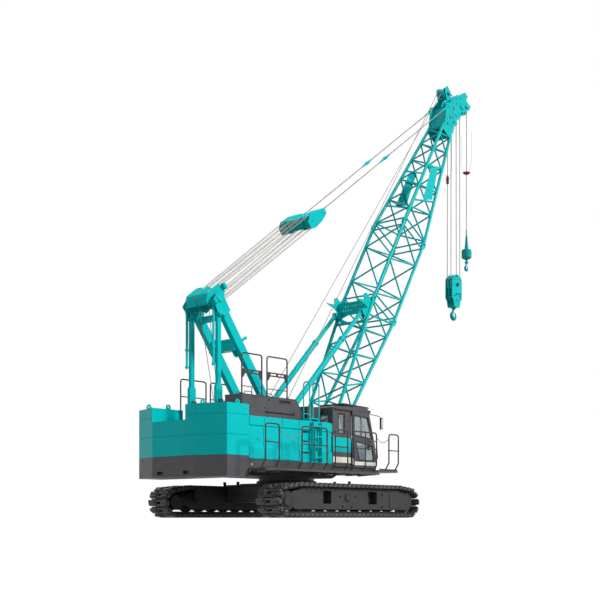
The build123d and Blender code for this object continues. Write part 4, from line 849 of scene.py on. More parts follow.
def shoe_form(pitch):
    """One track shoe in its own axes: along the track, across it and outwards."""
    form = Shape()
    half, wide = pitch * 0.46, SHOE_WIDTH / 2
    cut, under = 0.05, 0.012
    plan = [(-half, -wide + cut), (-half + cut * 0.8, -wide), (half - cut * 0.8, -wide), (half, -wide + cut),
            (half, wide - cut), (half - cut * 0.8, wide), (-half + cut * 0.8, wide), (-half, wide - cut)]
    hollow = oblong(-half * 0.42, half * 0.42, -0.075, 0.075)
    form.prism([(x, y, under) for x, y in plan], [[(x, y, under) for x, y in hollow]],
               (0, 0, SHOE_THICK - under))
    for side in (-1, 1):
        for x0, x1, y0, y1 in ((-half * 0.95, -half * 0.1, 0.13, 0.37), (half * 0.1, half * 0.8, 0.1, 0.33)):
            pad = [(x0, side * y0), (x1, side * y0), (x1, side * y1), (x0, side * y1)]
            if side < 0:
                pad.reverse()
            form.prism([(x, y, SHOE_THICK) for x, y in pad], [], (0, 0, LUG_DEPTH * (0.8 if x0 > 0 else 1.0)))
        form.tube([(-half * 1.06, side * 0.14, 0.028), (-half * 1.06, side * 0.3, 0.028)], 0.02, 10)
        form.tube([(half * 1.02, side * 0.02, 0.028), (half * 1.02, side * 0.12, 0.028)], 0.02, 10)
    for side in (-1, 1):
        form.block(-half * 1.1, half * 1.1, side * 0.1 - 0.02, side * 0.1 + 0.02, -LINK_DEPTH, 0.014)
    return form


def track_shoes():
    """Two closed tracks of shoes, each with raised pads, a hollow and link bars below."""
    points = track_path(SHOE_COUNT * 2)
    pitch = (points[2] - points[0]).length
    form = shoe_form(pitch)
    for name, y in (("left", GAUGE / 2), ("right", -GAUGE / 2)):
        shape = Shape()
        for k in range(SHOE_COUNT):
            start, middle, end = (points[(2 * k + step) % len(points)] for step in range(3))
            along = (end - start).normalized()
            out = Vector((along.z, 0, -along.x))
            across = out.cross(along)
            base = middle + Vector((0, y, 0))
            shape.add([base + along * p[0] + across * p[1] + out * p[2] for p in form.points], form.faces)
        piece = shape.make(f"track_{name}_shoes", "shoe_steel", "undercarriage", edge=0.004)
        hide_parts(f"track_loop_{name}")


def bolt_ring(shape, centre, axis, radius, count, size, height=0.012):
    """Hexagon bolt heads with a wider foot, round a centre."""
    centre, axis = Vector(centre), Vector(axis).normalized()
    first = axis.orthogonal().normalized()
    second = axis.cross(first)
    bolt = [(0, size * 1.35), (0.003, size * 1.35), (0.0031, size), (height, size),
            (height + 0.002, size * 0.7)]
    for k in range(count):
        turn = 2 * math.pi * k / count
        at = centre + first * (radius * math.cos(turn)) + second * (radius * math.sin(turn))
        shape.turned(at, axis, bolt, 6)


def frame_fittings(name, side):
    """Bolts, caps and cleats on the outer face of a track frame."""
    shape = Shape()
    middle = GAUGE / 2
    bolt_ring(shape, (-WHEEL_X, side * (middle + 0.345), WHEEL_Z), (0, side, 0), 0.115, 10, 0.012)
    bolt_ring(shape, (-WHEEL_X, side * (middle + 0.31), WHEEL_Z), (0, side, 0), 0.2, 18, 0.012)
    bolt_ring(shape, (-0.119, side * (middle + 0.29), 0.533), (0, side, 0), 0.085, 8, 0.011)
    cap = [(0, 0.034), (0.01, 0.034), (0.012, 0.026), (0.03, 0.024), (0.034, 0.012)]
    for x, z in ((-0.42, 0.55), (0.2, 0.56), (-0.32, 0.29), (0.05, 0.29), (1.35, 0.3), (1.35, 0.62)):
        shape.turned((x, side * (middle + 0.262), z), (0, side, 0), cap, 16)
    for k in range(7):
        x = -1.72 + k * 0.085
        cleat = [(x, 0.7), (x + 0.045, 0.7), (x + 0.03, 0.62), (x - 0.015, 0.62)]
        shape.side_plate(cleat, side * (middle + 0.26), side * (middle + 0.27))
    shape.make(f"track_frame_fittings_{name}", "undercarriage_black", "undercarriage", edge=0.0015)


def frame_cover(name, side):
    """The brown cover plate at the front of a track frame, with a bolt in each corner."""
    cover = Shape()
    face = GAUGE / 2 + 0.27
    low, high = sorted((side * (GAUGE / 2 + 0.262), side * face))
    cover.side_plate([(1.67, 0.3), (2.14, 0.3), (2.175, 0.34), (2.175, 0.64), (1.67, 0.64)], low, high)
    for x, z in ((1.7, 0.33), (2.14, 0.36), (2.14, 0.61), (1.7, 0.61)):
        cover.turned((x, side * face, z), (0, side, 0), [(0, 0.014), (0.008, 0.014), (0.01, 0.009)], 6)
    cover.make(f"track_frame_cover_{name}", "brown_panel", "undercarriage", edge=0.002)


def roller_ends(name, side):
    """Round ends of the nine track rollers."""
    ends = Shape()
    rows = [(0, 0.02), (0.002, 0.05), (0.058, 0.05), (0.06, 0.02)]
    for k in range(9):
        for reach in (-0.16, 0.16):
            ends.turned((-1.9 + 3.8 * k / 8, side * GAUGE / 2 + reach - 0.03, 0.235), (0, 1, 0), rows, 18)
    ends.make(f"roller_ends_{name}", "undercarriage_black", "undercarriage")


def sprocket_teeth(name, side, count=13):
    """Two rings of teeth on a drive sprocket."""
    teeth = Shape()
    # Radius and angle in radians of one tooth's corners
    rim = [(0.19, -0.16), (0.235, -0.07), (0.235, 0.07), (0.19, 0.16)]
    for k in range(count):
        turn = 2 * math.pi * k / count
        outline = [(-WHEEL_X + r * math.cos(turn + a), WHEEL_Z + r * math.sin(turn + a)) for r, a in rim]
        for ring in (-0.1, 0.1):
            teeth.side_plate(outline, side * GAUGE / 2 + ring - 0.02, side * GAUGE / 2 + ring + 0.02)
    teeth.make(f"sprocket_teeth_{name}", "undercarriage_black", "undercarriage", edge=0.002)


def undercarriage_fittings():
    """What both track frames carry."""
    for name, side in (("left", 1), ("right", -1)):
        frame_fittings(name, side)
        frame_cover(name, side)
        roller_ends(name, side)
        sprocket_teeth(name, side)


def carbody_fittings():
    """Bolted cover plates at the carbody's front and rear, with paired stop bars."""
    shape = Shape()
    bolt = [(0, 0.013), (0.009, 0.013), (0.011, 0.008)]
    for end in (-1, 1):
        for y0, y1, face in ((-1.42, -0.91, 0.851), (-0.89, 0.89, 0.901), (0.91, 1.42, 0.851)):
            x = end * face
            plate = [(x, y0, 0.47), (x, y1, 0.47), (x, y1, 0.835), (x, y0, 0.835)]
            shape.prism(plate, [], (end * 0.012, 0, 0))
            for k in range(4):
                y = y0 + 0.04 + (y1 - y0 - 0.08) * k / 3
                for z in (0.495, 0.81):
                    shape.turned((x + end * 0.011, y, z), (end, 0, 0), bolt, 6)
        for y in (-0.74, -0.5, 0.5, 0.74):
            for spread in (-0.06, 0.06):
                shape.tube([(end * 0.924, y + spread, 0.64), (end * 0.924, y, 0.54)], 0.013, 8)
    shape.make("carbody_covers", "dark_grey_paint", "undercarriage", edge=0.003)


# Rails, steps and walkways

def rail_bay(shape, side, x0, x1, third):
    """One bay of a walkway's guard rail, with a third post if it is asked for."""
    thin = RAIL_RADIUS - 0.004
    floor = FRONT_DECK_TOP if side < 0 and x0 > DECK_STEP else DECK_TOP
    y, foot_y = side * RAIL_Y, side * (DECK_EDGE - 0.03)
    feet = [[(x, foot_y, floor), (x, y, floor + 0.195)] for x in (x0, x1)]
    path = feet[0] + [(x0, y, RAIL_TOP), (x1, y, RAIL_TOP)] + feet[1][::-1]
    shape.bent(path, 0.09, RAIL_RADIUS, 14)
    shape.tube([(x0, y, RAIL_MID), (x1, y, RAIL_MID)], thin, 12)
    posts = [x0, x1]
    if third:
        middle = (x0 + x1) / 2
        posts.append(middle)
        post = [(middle, foot_y, floor), (middle, y, floor + 0.195), (middle, y, RAIL_TOP)]
        shape.bent(post, 0.09, thin, 12)
    bolt = [(0, 0.009), (0.008, 0.009), (0.009, 0.006)]
    sleeve = [(0, 0.02), (0.004, 0.024), (0.036, 0.024), (0.04, 0.02)]
    for x in posts:
        shape.block(x - 0.035, x + 0.035, foot_y - 0.028, foot_y + 0.028, floor - 0.002, floor + 0.01)
        shape.turned((x + 0.024, foot_y, floor + 0.01), (0, 0, 1), bolt, 6)
        shape.turned((x, y, RAIL_MID - 0.02), (0, 0, 1), sleeve, 12)


def hood_hoop(shape, x0, x1):
    """A hoop on the engine hood, with a slotted plate across it."""
    y, low, middle = HOOP_Y, HOOD_TOP, (x0 + x1) / 2
    shape.bent([(x0, y, low), (x0, y, HOOP_TOP), (x1, y, HOOP_TOP), (x1, y, low)], 0.08, RAIL_RADIUS, 14)
    shape.tube([(x0, y, 3.25), (x1, y, 3.25)], 0.011, 10)
    shape.tube([(middle, y, low), (middle, y, 3.25)], 0.011, 10)
    plate = [(x0, 3.44), (x0, 3.68), (x1, 3.68), (x1, 3.44), (x1 - 0.05, 3.47), (x1 - 0.12, 3.57),
             (x0 + 0.12, 3.57), (x0 + 0.05, 3.47)]
    spans = ((x0 + 0.13, middle - 0.035), (middle + 0.035, x1 - 0.13))
    shape.side_plate(plate, y - 0.005, y + 0.005, [oblong(a, b, 3.605, 3.645) for a, b in spans])
    for x in (x0, x1):
        shape.turned((x, y, low), (0, 0, 1), [(0, 0.045), (0.008, 0.045), (0.01, 0.03), (0.04, 0.024)], 16)


def guard_rails():
    """Bent rails along both walkways, hoops on the hood, and hoops over the left house."""
    shape = Shape()
    for side, bays in ((-1, RAIL_BAYS + (FRONT_BAY,)), (1, RAIL_BAYS)):
        for x0, x1, third in bays:
            rail_bay(shape, side, x0, x1, third)
    for x0, x1 in HOOPS:
        hood_hoop(shape, x0, x1)
    y = LEFT_HOOP_Y
    for x0, x1 in LEFT_HOOPS:
        hoop = [(x0, y, HOUSE_TOP), (x0, y, 3.6), (x1, y, 3.6), (x1, y, HOUSE_TOP)]
        shape.bent(hoop, 0.09, RAIL_RADIUS, 14)
        shape.tube([(x0, y, 3.15), (x1, y, 3.15)], RAIL_RADIUS - 0.004, 12)
    piece = shape.make("guard_rails", "rail_black", "upper")
    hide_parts("handrails")


def rail_chains():
    """Short safety chains of welded links, hung between the rails."""
    shape = Shape()
    # One link's corners: along the chain, across it
    link = ((-1, 0), (-0.7, -1), (0.7, -1), (1, 0), (0.7, 1), (-0.7, 1), (-1, 0))
    gaps = [(a[1], b[0]) for a, b in zip(RAIL_BAYS, RAIL_BAYS[1:])]
    for side, spans in ((-1, gaps + [(RAIL_BAYS[-1][1], FRONT_BAY[0])]), (1, gaps)):
        for x0, x1 in spans:
            count = 2 * round((x1 - x0) * 1.12 / CHAIN_PITCH / 2)
            points = [Vector((x0 + (x1 - x0) * k / count, side * RAIL_Y,
                              RAIL_TOP - 0.12 - 0.22 * (x1 - x0) * 4 * k / count * (1 - k / count)))
                      for k in range(count + 1)]
            for k, (a, b) in enumerate(zip(points, points[1:])):
                along = (b - a).normalized()
                wide = Vector((0, 1, 0)) if k % 2 else Vector((-along.z, 0, along.x))
                reach, half = (b - a).length * 0.68, CHAIN_PITCH * 0.3
                middle = (a + b) / 2
                ring = [middle + along * (reach * u) + wide * (half * v) for u, v in link]
                shape.tube(ring, 0.0032, 5, ends=False)
    shape.make("rail_chains", "rope_steel", "upper")


def ladder_fittings():
    """The side ladder with dimpled steps, its hand hoops and the tread on the house roof."""
    shape = Shape()
    x0, x1 = LADDER_X
    outer, inner = -1.595, -1.385
    dimple = [(0, 0.009), (0.006, 0.009), (0.008, 0.006)]
    for x in (x0 - 0.01, x1 - 0.01):
        shape.block(x, x + 0.02, -HOUSE_SIDE - 0.112, -HOUSE_SIDE, 1.455, 2.48)
    for z in LADDER_STEPS:
        shape.block(x0, x1, -HOUSE_SIDE - 0.11, -HOUSE_SIDE - 0.085, z, z + 0.03)
        for k in range(6):
            x = x0 + (x1 - x0) * (k + 0.5) / 6
            shape.turned((x, -HOUSE_SIDE - 0.0975, z + 0.028), (0, 0, 1), dimple, 10)
    for x in (x0 - 0.02, x1 + 0.02):
        hoop = [(x, outer, HOUSE_TOP), (x, outer, 3.54), (x, inner, 3.54), (x, inner, HOUSE_TOP)]
        shape.bent(hoop, 0.1, 0.017, 12)
        for y in (outer, inner):
            shape.turned((x, y, HOUSE_TOP), (0, 0, 1), [(0, 0.034), (0.008, 0.034), (0.01, 0.02)], 14)
    shape.tube([(x0 - 0.02, inner, 2.72), (x1 + 0.02, inner, 2.72)], 0.012, 10)
    shape.block(x0, x1, -1.6, -1.4, HOUSE_TOP + 0.06, HOUSE_TOP + 0.085)
    for x in (x0 + 0.002, x1 - 0.014):
        shape.block(x, x + 0.012, -1.6, -1.4, HOUSE_TOP, HOUSE_TOP + 0.065)
    piece = shape.make("ladder_fittings", "teal_paint", "upper", edge=0.002)
    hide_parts("ladder")


def deck_fittings():
    """Raised tread bars, edge lips and brackets of the walkways."""
    treads = Shape()
    lips = Shape()
    for side in (-1, 1):
        # First and last x and the top of each stretch of deck
        spans = [(-3.14, 1.14, DECK_TOP)]
        if side < 0:
            spans = [(-3.14, DECK_STEP - 0.05, DECK_TOP), (DECK_STEP, 2.14, FRONT_DECK_TOP)]
        for x0, x1, floor in spans:
            y0, y1 = sorted((side * (HOUSE_SIDE + 0.03), side * (DECK_EDGE - 0.075)))
            count = int((x1 - x0) / 0.09)
            for k in range(count):
                x = x0 + (k + 0.5) * (x1 - x0) / count
                lean = 0.03 if k % 2 else -0.03
                for row in range(5):
                    y = y0 + (row + 0.5) * (y1 - y0) / 5
                    bar = [(x - lean - 0.004, y - 0.035, floor), (x - lean + 0.004, y - 0.035, floor),
                           (x + lean + 0.004, y + 0.035, floor), (x + lean - 0.004, y + 0.035, floor)]
                    treads.prism(bar, [], (0, 0, 0.003))
            edge = side * DECK_EDGE
            low, high = sorted((edge, edge - side * 0.012))
            lips.block(x0, x1, low, high, floor - 0.002, floor + 0.04)
        for k in range(9):
            x = -3.05 + k * 0.52
            near, far = side * HOUSE_SIDE, side * (DECK_EDGE - 0.05)
            bracket = [(x, near, 1.165), (x, far, 1.165), (x, far, 1.145), (x, near, 1.12)]
            lips.prism(bracket, [], (0.012, 0, 0))
    treads.make("walkway_treads", "dark_grey_paint", "upper")
    lips.make("walkway_lips", "rail_black", "upper", edge=0.002)


# Hood and house

def hood_fittings():
    """Skin panels, a sunk grip with a near-black plate of painted shade at its back, lifting handles, a
    locking bar, latches and slats on the engine hood.
    """
    skins = Shape()
    face = HOOD_SIDE
    for x0, x1 in ((-3.09, -2.215), (-2.203, -1.14)):
        skins.panel(x0, x1, 2.53, 3.03, face - 0.006, face + 0.002)
    grip = (-1.735, -1.345, 2.93, 2.99)
    skins.panel(-1.75, -1.33, 2.915, 3.005, face - 0.02, face, [oblong(*grip)])
    for x0, x1, y in ((-2.86, -2.6, -1.2), (-2.05, -1.85, -1.2), (-2.86, -2.6, -0.9), (-2.05, -1.85, -0.9)):
        top = HOOD_TOP + 0.09
        skins.bent([(x0, y, HOOD_TOP), (x0, y, top), (x1, y, top), (x1, y, HOOD_TOP)], 0.04, 0.011, 10)
    skins.make("hood_skins", "dark_grey_paint", "upper", edge=0.003)
    dark = Shape()
    # A near-black plate at the back of the sunk grip: painted shade in its hollow.
    dark.panel(*grip, face - 0.008, face - 0.005)
    dark.tube([(-2.25, face - 0.026, 2.665), (-1.23, face - 0.026, 2.66)], 0.011, 10)
    holder = [(0, 0.014), (0.002, 0.019), (0.034, 0.019), (0.036, 0.014)]
    for x in (-2.25, -1.74, -1.23):
        dark.turned((x, face - 0.04, 2.6625), (0, 1, 0), holder, 14)
    for x, z in ((-2.3, 2.76), (-2.13, 2.97), (-1.2, 2.7)):
        dark.turned((x, face - 0.022, z), (0, 1, 0), [(0, 0.012), (0.003, 0.018), (0.022, 0.018)], 14)
    for k in range(7):
        z = 2.6 + 0.045 * k
        slat = [(-0.84, -1.2, z), (-0.84, -0.85, z), (-0.82, -0.85, z - 0.02), (-0.82, -1.2, z - 0.02)]
        dark.prism(slat, [], (0, 0, 0.006))
    dark.make("hood_latches", "rubber", "upper")


def house_fittings():
    """Door latches and hinge plates, near-black plates of painted shade for the step pockets, a side reflector
    and panels on the hidden left side.
    """
    for name, x0, x1 in zip(DOOR_NAMES, DOOR_SEAMS, DOOR_SEAMS[1:]):
        latch = Shape()
        x, face = x1 - 0.16 if name != "house_door_middle" else -2.37, -HOUSE_SIDE + SUNK_BAND
        latch.panel(x - 0.07, x + 0.07, 1.92, 1.99, face - 0.012, face + 0.002)
        button = [(0, 0.01), (0.002, 0.014), (0.01, 0.014)]
        latch.turned((x + 0.04, face - 0.018, 1.955), (0, 1, 0), button, 14)
        for z in (1.62, 2.4):
            latch.panel(x0 + 0.06, x0 + 0.13, z - 0.05, z + 0.05, -HOUSE_SIDE - 0.001, -HOUSE_SIDE + 0.004)
        latch.make(f"{name}_latch", "teal_paint", name, edge=0.003)
    pocket_shade = Shape()
    # Near-black plates where the step pockets sink into the house side: painted shade in the pockets.
    for z, face in ((2.23, -HOUSE_SIDE), (1.98, -HOUSE_SIDE + SUNK_BAND), (1.68, -HOUSE_SIDE)):
        pocket_shade.panel(-1.134, -0.899, z - 0.02, z + 0.02, face - 0.003, face + 0.02)
    pocket_shade.make("painted_shade_step_pockets", "rubber", "upper", edge=0.004)
    reflector = Shape()
    lens = [(0, 0.02), (0.004, 0.03), (0.016, 0.034)]
    reflector.turned((-3.02, -HOUSE_SIDE - 0.014, 1.31), (0, 1, 0), lens, 24)
    reflector.make("side_reflector", "amber_plastic", "upper")
    left = Shape()
    for x0, x1 in ((-3.08, -2.3), (-2.27, -1.42), (-1.39, -0.5), (-0.47, 0.3), (0.33, 1.12)):
        for z0, z1 in ((1.47, 1.72), (2.3, 2.48)):
            left.panel(x0, x1, z0, z1, HOUSE_SIDE - 0.002, HOUSE_SIDE + 0.006)
        for k in range(8 if x0 < -2.2 else 0):
            z = 1.82 + 0.05 * k
            start = x0 + 0.1
            left.prism([(start, HOUSE_SIDE - 0.03, z), (start, HOUSE_SIDE - 0.008, z - 0.012),
                        (start, HOUSE_SIDE - 0.03, z + 0.018)], [], (x1 - x0 - 0.2, 0, 0))
    left.make("house_left_panels", "teal_paint", "upper", edge=0.002)


# Cab

def inset(outline, amount):
    """An outline moved inwards by an amount. It holds for outlines that bulge everywhere."""
    points = [Vector(p) for p in outline]
    centre = sum(points, Vector((0, 0))) / len(points)
    made = []
    for before, here, after in zip(points[-1:] + points[:-1], points, points[1:] + points[:1]):
        normals = []
        for edge in (here - before, after - here):
            normal = Vector((-edge.y, edge.x)).normalized()
            normals.append(normal if normal.dot(centre - here) > 0 else -normal)
        made.append(here + (normals[0] + normals[1]) * (amount / (1 + normals[0].dot(normals[1]))))
    return made


def cushion(shape, x0, x1, y0, y1, z0, z1, sides=24):
    """A crowned closed cushion that pulls in between its corners."""
    def rise(value, power):
        return math.copysign(abs(value) ** power, value)
    points = []
    for k in range(sides + 1):
        lift = math.pi * (k / sides - 0.5)
        for s in range(sides * 2):
            turn = math.pi * s / sides
            reach = rise(math.cos(lift), 0.45)
            points.append(((x0 + x1) / 2 + (x1 - x0) / 2 * reach * rise(math.cos(turn), 0.35),
                           (y0 + y1) / 2 + (y1 - y0) / 2 * reach * rise(math.sin(turn), 0.35),
                           (z0 + z1) / 2 + (z1 - z0) / 2 * rise(math.sin(lift), 0.45)))
    ring = sides * 2
    faces = [(k * ring + s, k * ring + (s + 1) % ring, (k + 1) * ring + (s + 1) % ring, (k + 1) * ring + s)
             for k in range(sides) for s in range(ring)]
    shape.add(points, faces)


def cab_seat():
    """Seat cushions, and the seat's frame with its console, armrests and levers."""
    middle = CAB_MIDDLE
    cloth = Shape()
    cushion(cloth, 0.53, 1.0, middle - 0.23, middle + 0.23, 1.76, 1.88)
    cushion(cloth, 0.44, 0.58, middle - 0.22, middle + 0.22, 1.84, 2.42)
    cushion(cloth, 0.46, 0.56, middle - 0.12, middle + 0.12, 2.42, 2.62)
    piece = cloth.make("cab_seat_cushions", "seat_fabric", "upper")
    parts = Shape()
    # x0, x1, half width, z0, z1 of the pedestal, the seat pan and the console
    for x0, x1, half, z0, z1 in ((0.6, 0.9, 0.12, 1.36, 1.74), (0.5, 0.98, 0.21, 1.72, 1.77),
                                 (1.45, 1.7, 0.26, 1.36, 1.9)):
        parts.block(x0, x1, middle - half, middle + half, z0, z1)
    for side in (-1, 1):
        y = middle + side * 0.255
        parts.block(0.62, 0.98, y - 0.025, y + 0.025, 1.92, 1.99)
        parts.block(0.64, 0.7, y - 0.02, y + 0.02, 1.72, 1.93)
        parts.tube([(0.94, y, 1.98), (0.97, y, 2.1)], 0.008, 8)
        knob = [(0, 0.008), (0.01, 0.02), (0.05, 0.022), (0.065, 0.01)]
        parts.turned((0.965, y, 2.08), (0.25, 0, 1), knob, 14)
    seat = parts.make("cab_seat_frame", "rubber", "upper", edge=0.006)
    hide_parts("cab_fittings")


def cab_door_trim():
    """Window seals, a window bar, a latch and a hand grip on the cab door, and the lever behind it."""
    face = CAB_DOOR_FACE
    seals = Shape()
    for outline in (UPPER_WINDOW, LOWER_WINDOW):
        seals.side_plate(inset(outline, -0.014), face - 0.006, face + 0.004, [inset(outline, 0.012)])
    seals.tube([(1.2, face - 0.004, 2.215), (1.19, face - 0.004, 2.77)], 0.01, 8)
    seals.panel(1.5, 1.56, 1.86, 1.98, face - 0.02, face + 0.002)
    grip = [(1.5, face, 2.1), (1.5, face - 0.05, 2.1), (1.62, face - 0.05, 2.1), (1.62, face, 2.1)]
    seals.bent(grip, 0.02, 0.009, 8)
    seals.make("cab_door_seals", "rubber", "cab_door", edge=0.002)
    bar = Shape()
    bar.tube([(1.08, -1.3, 1.75), (1.3, -1.3, 1.745)], 0.014, 12)
    bar.make("cab_floor_lever", "primer_red", "upper")


def cab_trim():
    """Seals of the fixed windows, wiper, grips, work lamp, mirror and roof plate."""
    trim = Shape()
    window = oblong(*SIDE_WINDOW)
    trim.side_plate(inset(window, -0.012), -HOUSE_SIDE - 0.005, -HOUSE_SIDE + 0.01, [inset(window, 0.01)])
    near, far = CAB_GLASS_Y
    for a, b in CAB_FRONT_PANES:
        for y in (near, far):
            trim.tube([(a[0] + 0.01, y, a[1]), (b[0] + 0.01, y, b[1])], 0.014, 8)
        for x, z in (a, b):
            trim.tube([(x + 0.01, near, z), (x + 0.01, far, z)], 0.014, 8)
    trim.tube([(1.92, -1.16, 2.02), (1.86, -1.14, 2.2), (1.745, -1.3, 2.62)], 0.008, 8)
    trim.tube([(1.79, -1.35, 2.4), (1.7, -1.25, 2.78)], 0.01, 8)
    grip = [(1.96, -1.585, 1.62), (2.03, -1.6, 1.66), (1.98, -1.6, 2.1), (1.9, -1.585, 2.14)]
    trim.bent(grip, 0.04, 0.012, 10)
    trim.bent([(1.62, -1.5, 2.93), (1.68, -1.5, 2.99), (1.74, -1.5, 2.99)], 0.03, 0.01, 8)
    trim.turned((1.68, -1.52, 2.93), (1, 0, 0), [(0, 0.02), (0.01, 0.042), (0.07, 0.05), (0.08, 0.044)], 20)
    mirror_arm = [(1.66, -1.6, 2.86), (1.8, -1.72, 2.83), (1.955, -1.74, 2.8), (1.955, -1.74, 2.42)]
    trim.bent(mirror_arm, 0.05, 0.01, 8)
    trim.side_plate(rounded_box(1.925, 2.02, 2.46, 2.78, 0.02), -1.8, -1.76)
    roof = [(0.56, 3.075), (1.62, 3.04), (1.62, 3.052), (0.56, 3.09)]
    trim.side_plate(roof, -HOUSE_SIDE + 0.03, -0.735)
    for x in (0.75, 1.1, 1.45):
        trim.block(x - 0.03, x + 0.03, -1.45, -1.38, 2.99, 3.08 - (x - 0.56) * 0.034)
    trim.make("cab_trim", "rubber", "upper", edge=0.003)


def cab_panes():
    """The mirror's glass and the two front panes."""
    glass = Shape()
    glass.side_plate(rounded_box(1.935, 2.01, 2.475, 2.765, 0.015), -1.803, -1.799)
    glass.make("cab_mirror_glass", "mirror_glass", "upper")
    panes = Shape()
    near, far = CAB_GLASS_Y
    for (x0, z0), (x1, z1) in CAB_FRONT_PANES:
        pane = [(x0 - 0.02, near, z0), (x0 - 0.02, far, z0), (x1 - 0.02, far, z1), (x1 - 0.02, near, z1)]
        panes.prism(pane, [], (0.006, 0, 0))
    panes.make("cab_front_panes", "window_glass", "upper")


def cab_stripes():
    """The ivory stripe and the dark bands beside it, as thin skins."""
    apron = -HOUSE_SIDE - 0.004
    # Piece, finish, its (z0, z1) bands
    for name, finish, bands in (("cab_stripe", "ivory_paint", ((1.474, 1.63),)),
                                ("cab_band", "dark_grey_paint", ((1.63, 1.765), (1.447, 1.474)))):
        skin = Shape()
        for z0, z1 in bands:
            skin.panel(0.066, 0.817, z0, z1, apron - 0.0015, apron + 0.001)
        skin.make(name, finish, "upper")
    low = Shape()
    outline = [(0.84, 1.43), (1.855, 1.43), (1.862, 1.53), (0.93, 1.53), (0.84, 1.62)]
    low.side_plate(outline, CAB_DOOR_FACE - 0.002, CAB_DOOR_FACE + 0.001)
    low.make("cab_door_stripe", "ivory_paint", "cab_door")


# Pins, bolts and head details

def pin_cap(shape, x, z, y, side, radius):
    """A pivot pin's head with four bolts round it, facing away from the machine's middle."""
    rows = [(0, radius * 1.25), (0.01, radius * 1.25), (0.012, radius), (0.03, radius), (0.036, radius * 0.8)]
    shape.turned((x, y, z), (0, side, 0), rows, 24)
    bolt_ring(shape, (x, y + side * 0.004, z), (0, side, 0), radius * 1.12, 4, radius * 0.12, 0.02)


def gantry_pins():
    """Pin heads on the gantry, its links and the backstop feet."""
    shape = Shape()
    for x, z, y, radius in GANTRY_PINS:
        for side in (-1, 1):
            pin_cap(shape, x, z, side * y, side, radius)
    shape.make("gantry_pins", "teal_paint", "upper")


def boom_pins():
    """Pin heads on the boom, and bolts and welded ribs on its head's plates."""
    shape = Shape()
    for side in (-1, 1):
        pin_cap(shape, BOOM_FOOT[0], BOOM_FOOT[1], side * 0.605, side, 0.06)
    spool = [(0, 0.032), (0.012, 0.032), (0.014, 0.022), (0.026, 0.02)]
    bolt = [(0, 0.026), (0.006, 0.026), (0.008, 0.018), (0.022, 0.017)]
    for joint in (BOOM_SECTIONS[0][2], BOOM_SECTIONS[1][2]):
        for side in (-1, 1):
            for face in (-1, 1):
                at = corner(joint, side, face)
                for way in (-1, 1):
                    shape.turned((at.x, at.y + way * 0.062, at.z), (0, way, 0), spool, 16)
                    clip = [at + Vector((0, way * 0.08, reach)) for reach in (0.034, -0.034)]
                    shape.tube(clip, 0.005, 6)
    for (along, off), y, radius in HEAD_PINS:
        at = spot(along, off)
        for side in (-1, 1):
            pin_cap(shape, at.x, at.z, side * y, side, radius)
    for along, off in HEAD_BOLTS:
        at = spot(along, off)
        for side in (-1, 1):
            shape.turned((at.x, side * 0.313, at.z), (0, side, 0), bolt, 6)
    for start, off, end, end_off in HEAD_RIBS:
        for side in (-1, 1):
            shape.tube([spot(start, off, side * 0.315), spot(end, end_off, side * 0.315)], 0.014, 8)
    shape.make("boom_pins", "teal_paint", "boom")


def head_details():
    """Near-black discs of painted shade where the head's side plates have round openings, and rope guards
    across it.
    """
    dark = Shape()
    # Thin near-black discs on the plates where the openings are: painted shade in the openings.
    for side in (-1, 1):
        for along, off, radius in HEAD_HOLES:
            at = spot(along, off)
            rows = [(0, radius), (0.004, radius), (0.005, radius * 0.85)]
            dark.turned((at.x, side * 0.311, at.z), (0, side, 0), rows, 24)
    for along, off, half in ((13.72, -0.33, 0.29), (14.16, -0.36, 0.29)):
        dark.tube([spot(along, off, -half), spot(along, off, half)], 0.018, 10)
    dark.make("boom_head_details", "rail_black", "boom")


def block_fittings():
    """Pin heads, bolts, round marks and the top bar of the hook block."""
    x = spot(*MAIN_SHEAVE).x
    low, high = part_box("main_block")
    face = max(abs(low[1]), abs(high[1]))
    shape = Shape()
    bolt = [(0, 0.022), (0.004, 0.022), (0.006, 0.015), (0.018, 0.014)]
    for side in (-1, 1):
        pin_cap(shape, x, BLOCK_SHEAVE_Z, side * face, side, 0.05)
        for along, z in ((-0.15, 7.35), (0.15, 7.35), (-0.16, 7.95), (0.16, 7.95), (0.0, 7.2)):
            shape.turned((x + along, side * face, z), (0, side, 0), bolt, 6)
        for along, z, radius in ((-0.03, 7.42, 0.03), (0.14, 7.42, 0.03), (0.06, 7.7, 0.026)):
            disc = [(0, radius), (0.003, radius), (0.004, radius * 0.8)]
            shape.turned((x + along, side * face, z), (0, side, 0), disc, 20)
    shape.tube([(x, -face, 8.0), (x, face, 8.0)], 0.022, 12)
    shape.make("main_block_bolts", "rail_black", "main_block")


# Stage

def lay_floor():
    """A floor that keeps a faint shadow and looks white to the camera and in reflections."""
    n = Nodes("floor")
    path = n.add("ShaderNodeLightPath")
    seen = n.math("MAXIMUM", path.outputs["Is Camera Ray"], path.outputs["Is Glossy Ray"])
    seen = n.math("MAXIMUM", seen, path.outputs["Is Transmission Ray"])
    n.surface("Base Color", n.mix(n.noise(0.6, 3), rgb(150, 150, 150), rgb(160, 160, 160)))
    n.surface("Roughness", 0.9)
    glow = n.add("ShaderNodeEmission")
    glow.inputs["Color"].default_value = (1, 1, 1, 1)
    glow.inputs["Strength"].default_value = FLOOR_GLOW
    blend = n.add("ShaderNodeMixShader")
    n.put(blend.inputs["Fac"], n.math("MULTIPLY", seen, FLOOR_GLOW_SHARE))
    n.put(blend.inputs[1], n.shader.outputs["BSDF"])
    n.put(blend.inputs[2], glow.outputs["Emission"])
    n.put(n.tree.nodes["Material Output"].inputs["Surface"], blend.outputs["Shader"])
    mesh = bpy.data.meshes.new("floor")
    half = FLOOR_HALF
    corners = [(-half, -half, 0), (half, -half, 0), (half, half, 0), (-half, half, 0)]
    mesh.from_pydata(corners, [], [(0, 1, 2, 3)])
    mesh.materials.append(n.material)
    piece = bpy.data.objects.new("floor", mesh)
    bpy.context.scene.collection.objects.link(piece)


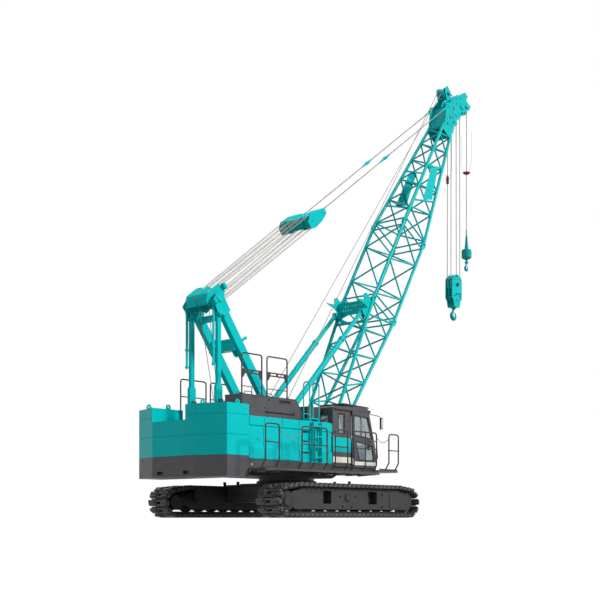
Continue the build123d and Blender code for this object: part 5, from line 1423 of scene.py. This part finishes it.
def backdrop():
    """Faint light from all round, and a backdrop that looks white, also in reflections and through glass."""
    world = bpy.data.worlds.new("studio")
    bpy.context.scene.world = world
    world.use_nodes = True
    tree = world.node_tree
    path = tree.nodes.new("ShaderNodeLightPath")
    background = tree.nodes["Background"]
    background.inputs["Color"].default_value = (0.93, 0.96, 1.0, 1)
    background.inputs["Strength"].default_value = LIGHT_ALL_ROUND
    white = tree.nodes.new("ShaderNodeBackground")
    white.inputs["Color"].default_value = (1, 1, 1, 1)
    blend = tree.nodes.new("ShaderNodeMixShader")
    seen = path.outputs["Is Camera Ray"]
    for kind in ("Is Glossy Ray", "Is Transmission Ray"):
        either = tree.nodes.new("ShaderNodeMath")
        either.operation = "MAXIMUM"
        tree.links.new(seen, either.inputs[0])
        tree.links.new(path.outputs[kind], either.inputs[1])
        seen = either.outputs["Value"]
    tree.links.new(seen, blend.inputs["Fac"])
    tree.links.new(background.outputs["Background"], blend.inputs[1])
    tree.links.new(white.outputs["Background"], blend.inputs[2])
    tree.links.new(blend.outputs["Shader"], tree.nodes["World Output"].inputs["Surface"])


def lamps():
    """Far lamps with soft edges."""
    for name, source, width, power in LAMPS:
        data = bpy.data.lights.new(name, "SUN")
        data.angle, data.energy = math.radians(width), power
        lamp = bpy.data.objects.new(name, data)
        lamp.rotation_euler = Vector(source).to_track_quat("Z", "Y").to_euler()
        bpy.context.scene.collection.objects.link(lamp)


def camera():
    """The photograph's view: level, at floor height, from the rear right, with plain colours."""
    data = bpy.data.cameras.new("camera")
    data.sensor_width, data.lens, data.shift_y = 36.0, CAMERA_LENS, CAMERA_SHIFT
    data.clip_end = 300
    eye = bpy.data.objects.new("camera", data)
    eye.location = CAMERA_PLACE
    heading = Vector((math.cos(CAMERA_HEADING), math.sin(CAMERA_HEADING), 0))
    eye.rotation_euler = heading.to_track_quat("-Z", "Y").to_euler()
    bpy.context.scene.collection.objects.link(eye)
    bpy.context.scene.camera = eye
    bpy.context.scene.view_settings.view_transform = "Standard"


camera()
lay_floor()
backdrop()
lamps()
dress_nodes()
boom_tubes()
sheaves()
track_shoes()
undercarriage_fittings()
carbody_fittings()
luffing_ropes()
pendants()
fall_ropes()
limit_weights()
hoist_ropes()
drum_laps()
guard_rails()
rail_chains()
ladder_fittings()
deck_fittings()
hood_fittings()
house_fittings()
cab_seat()
cab_door_trim()
cab_trim()
cab_panes()
cab_stripes()
gantry_pins()
boom_pins()
head_details()
block_fittings()
for hook in HOOKS:
    forged_hook(*hook)
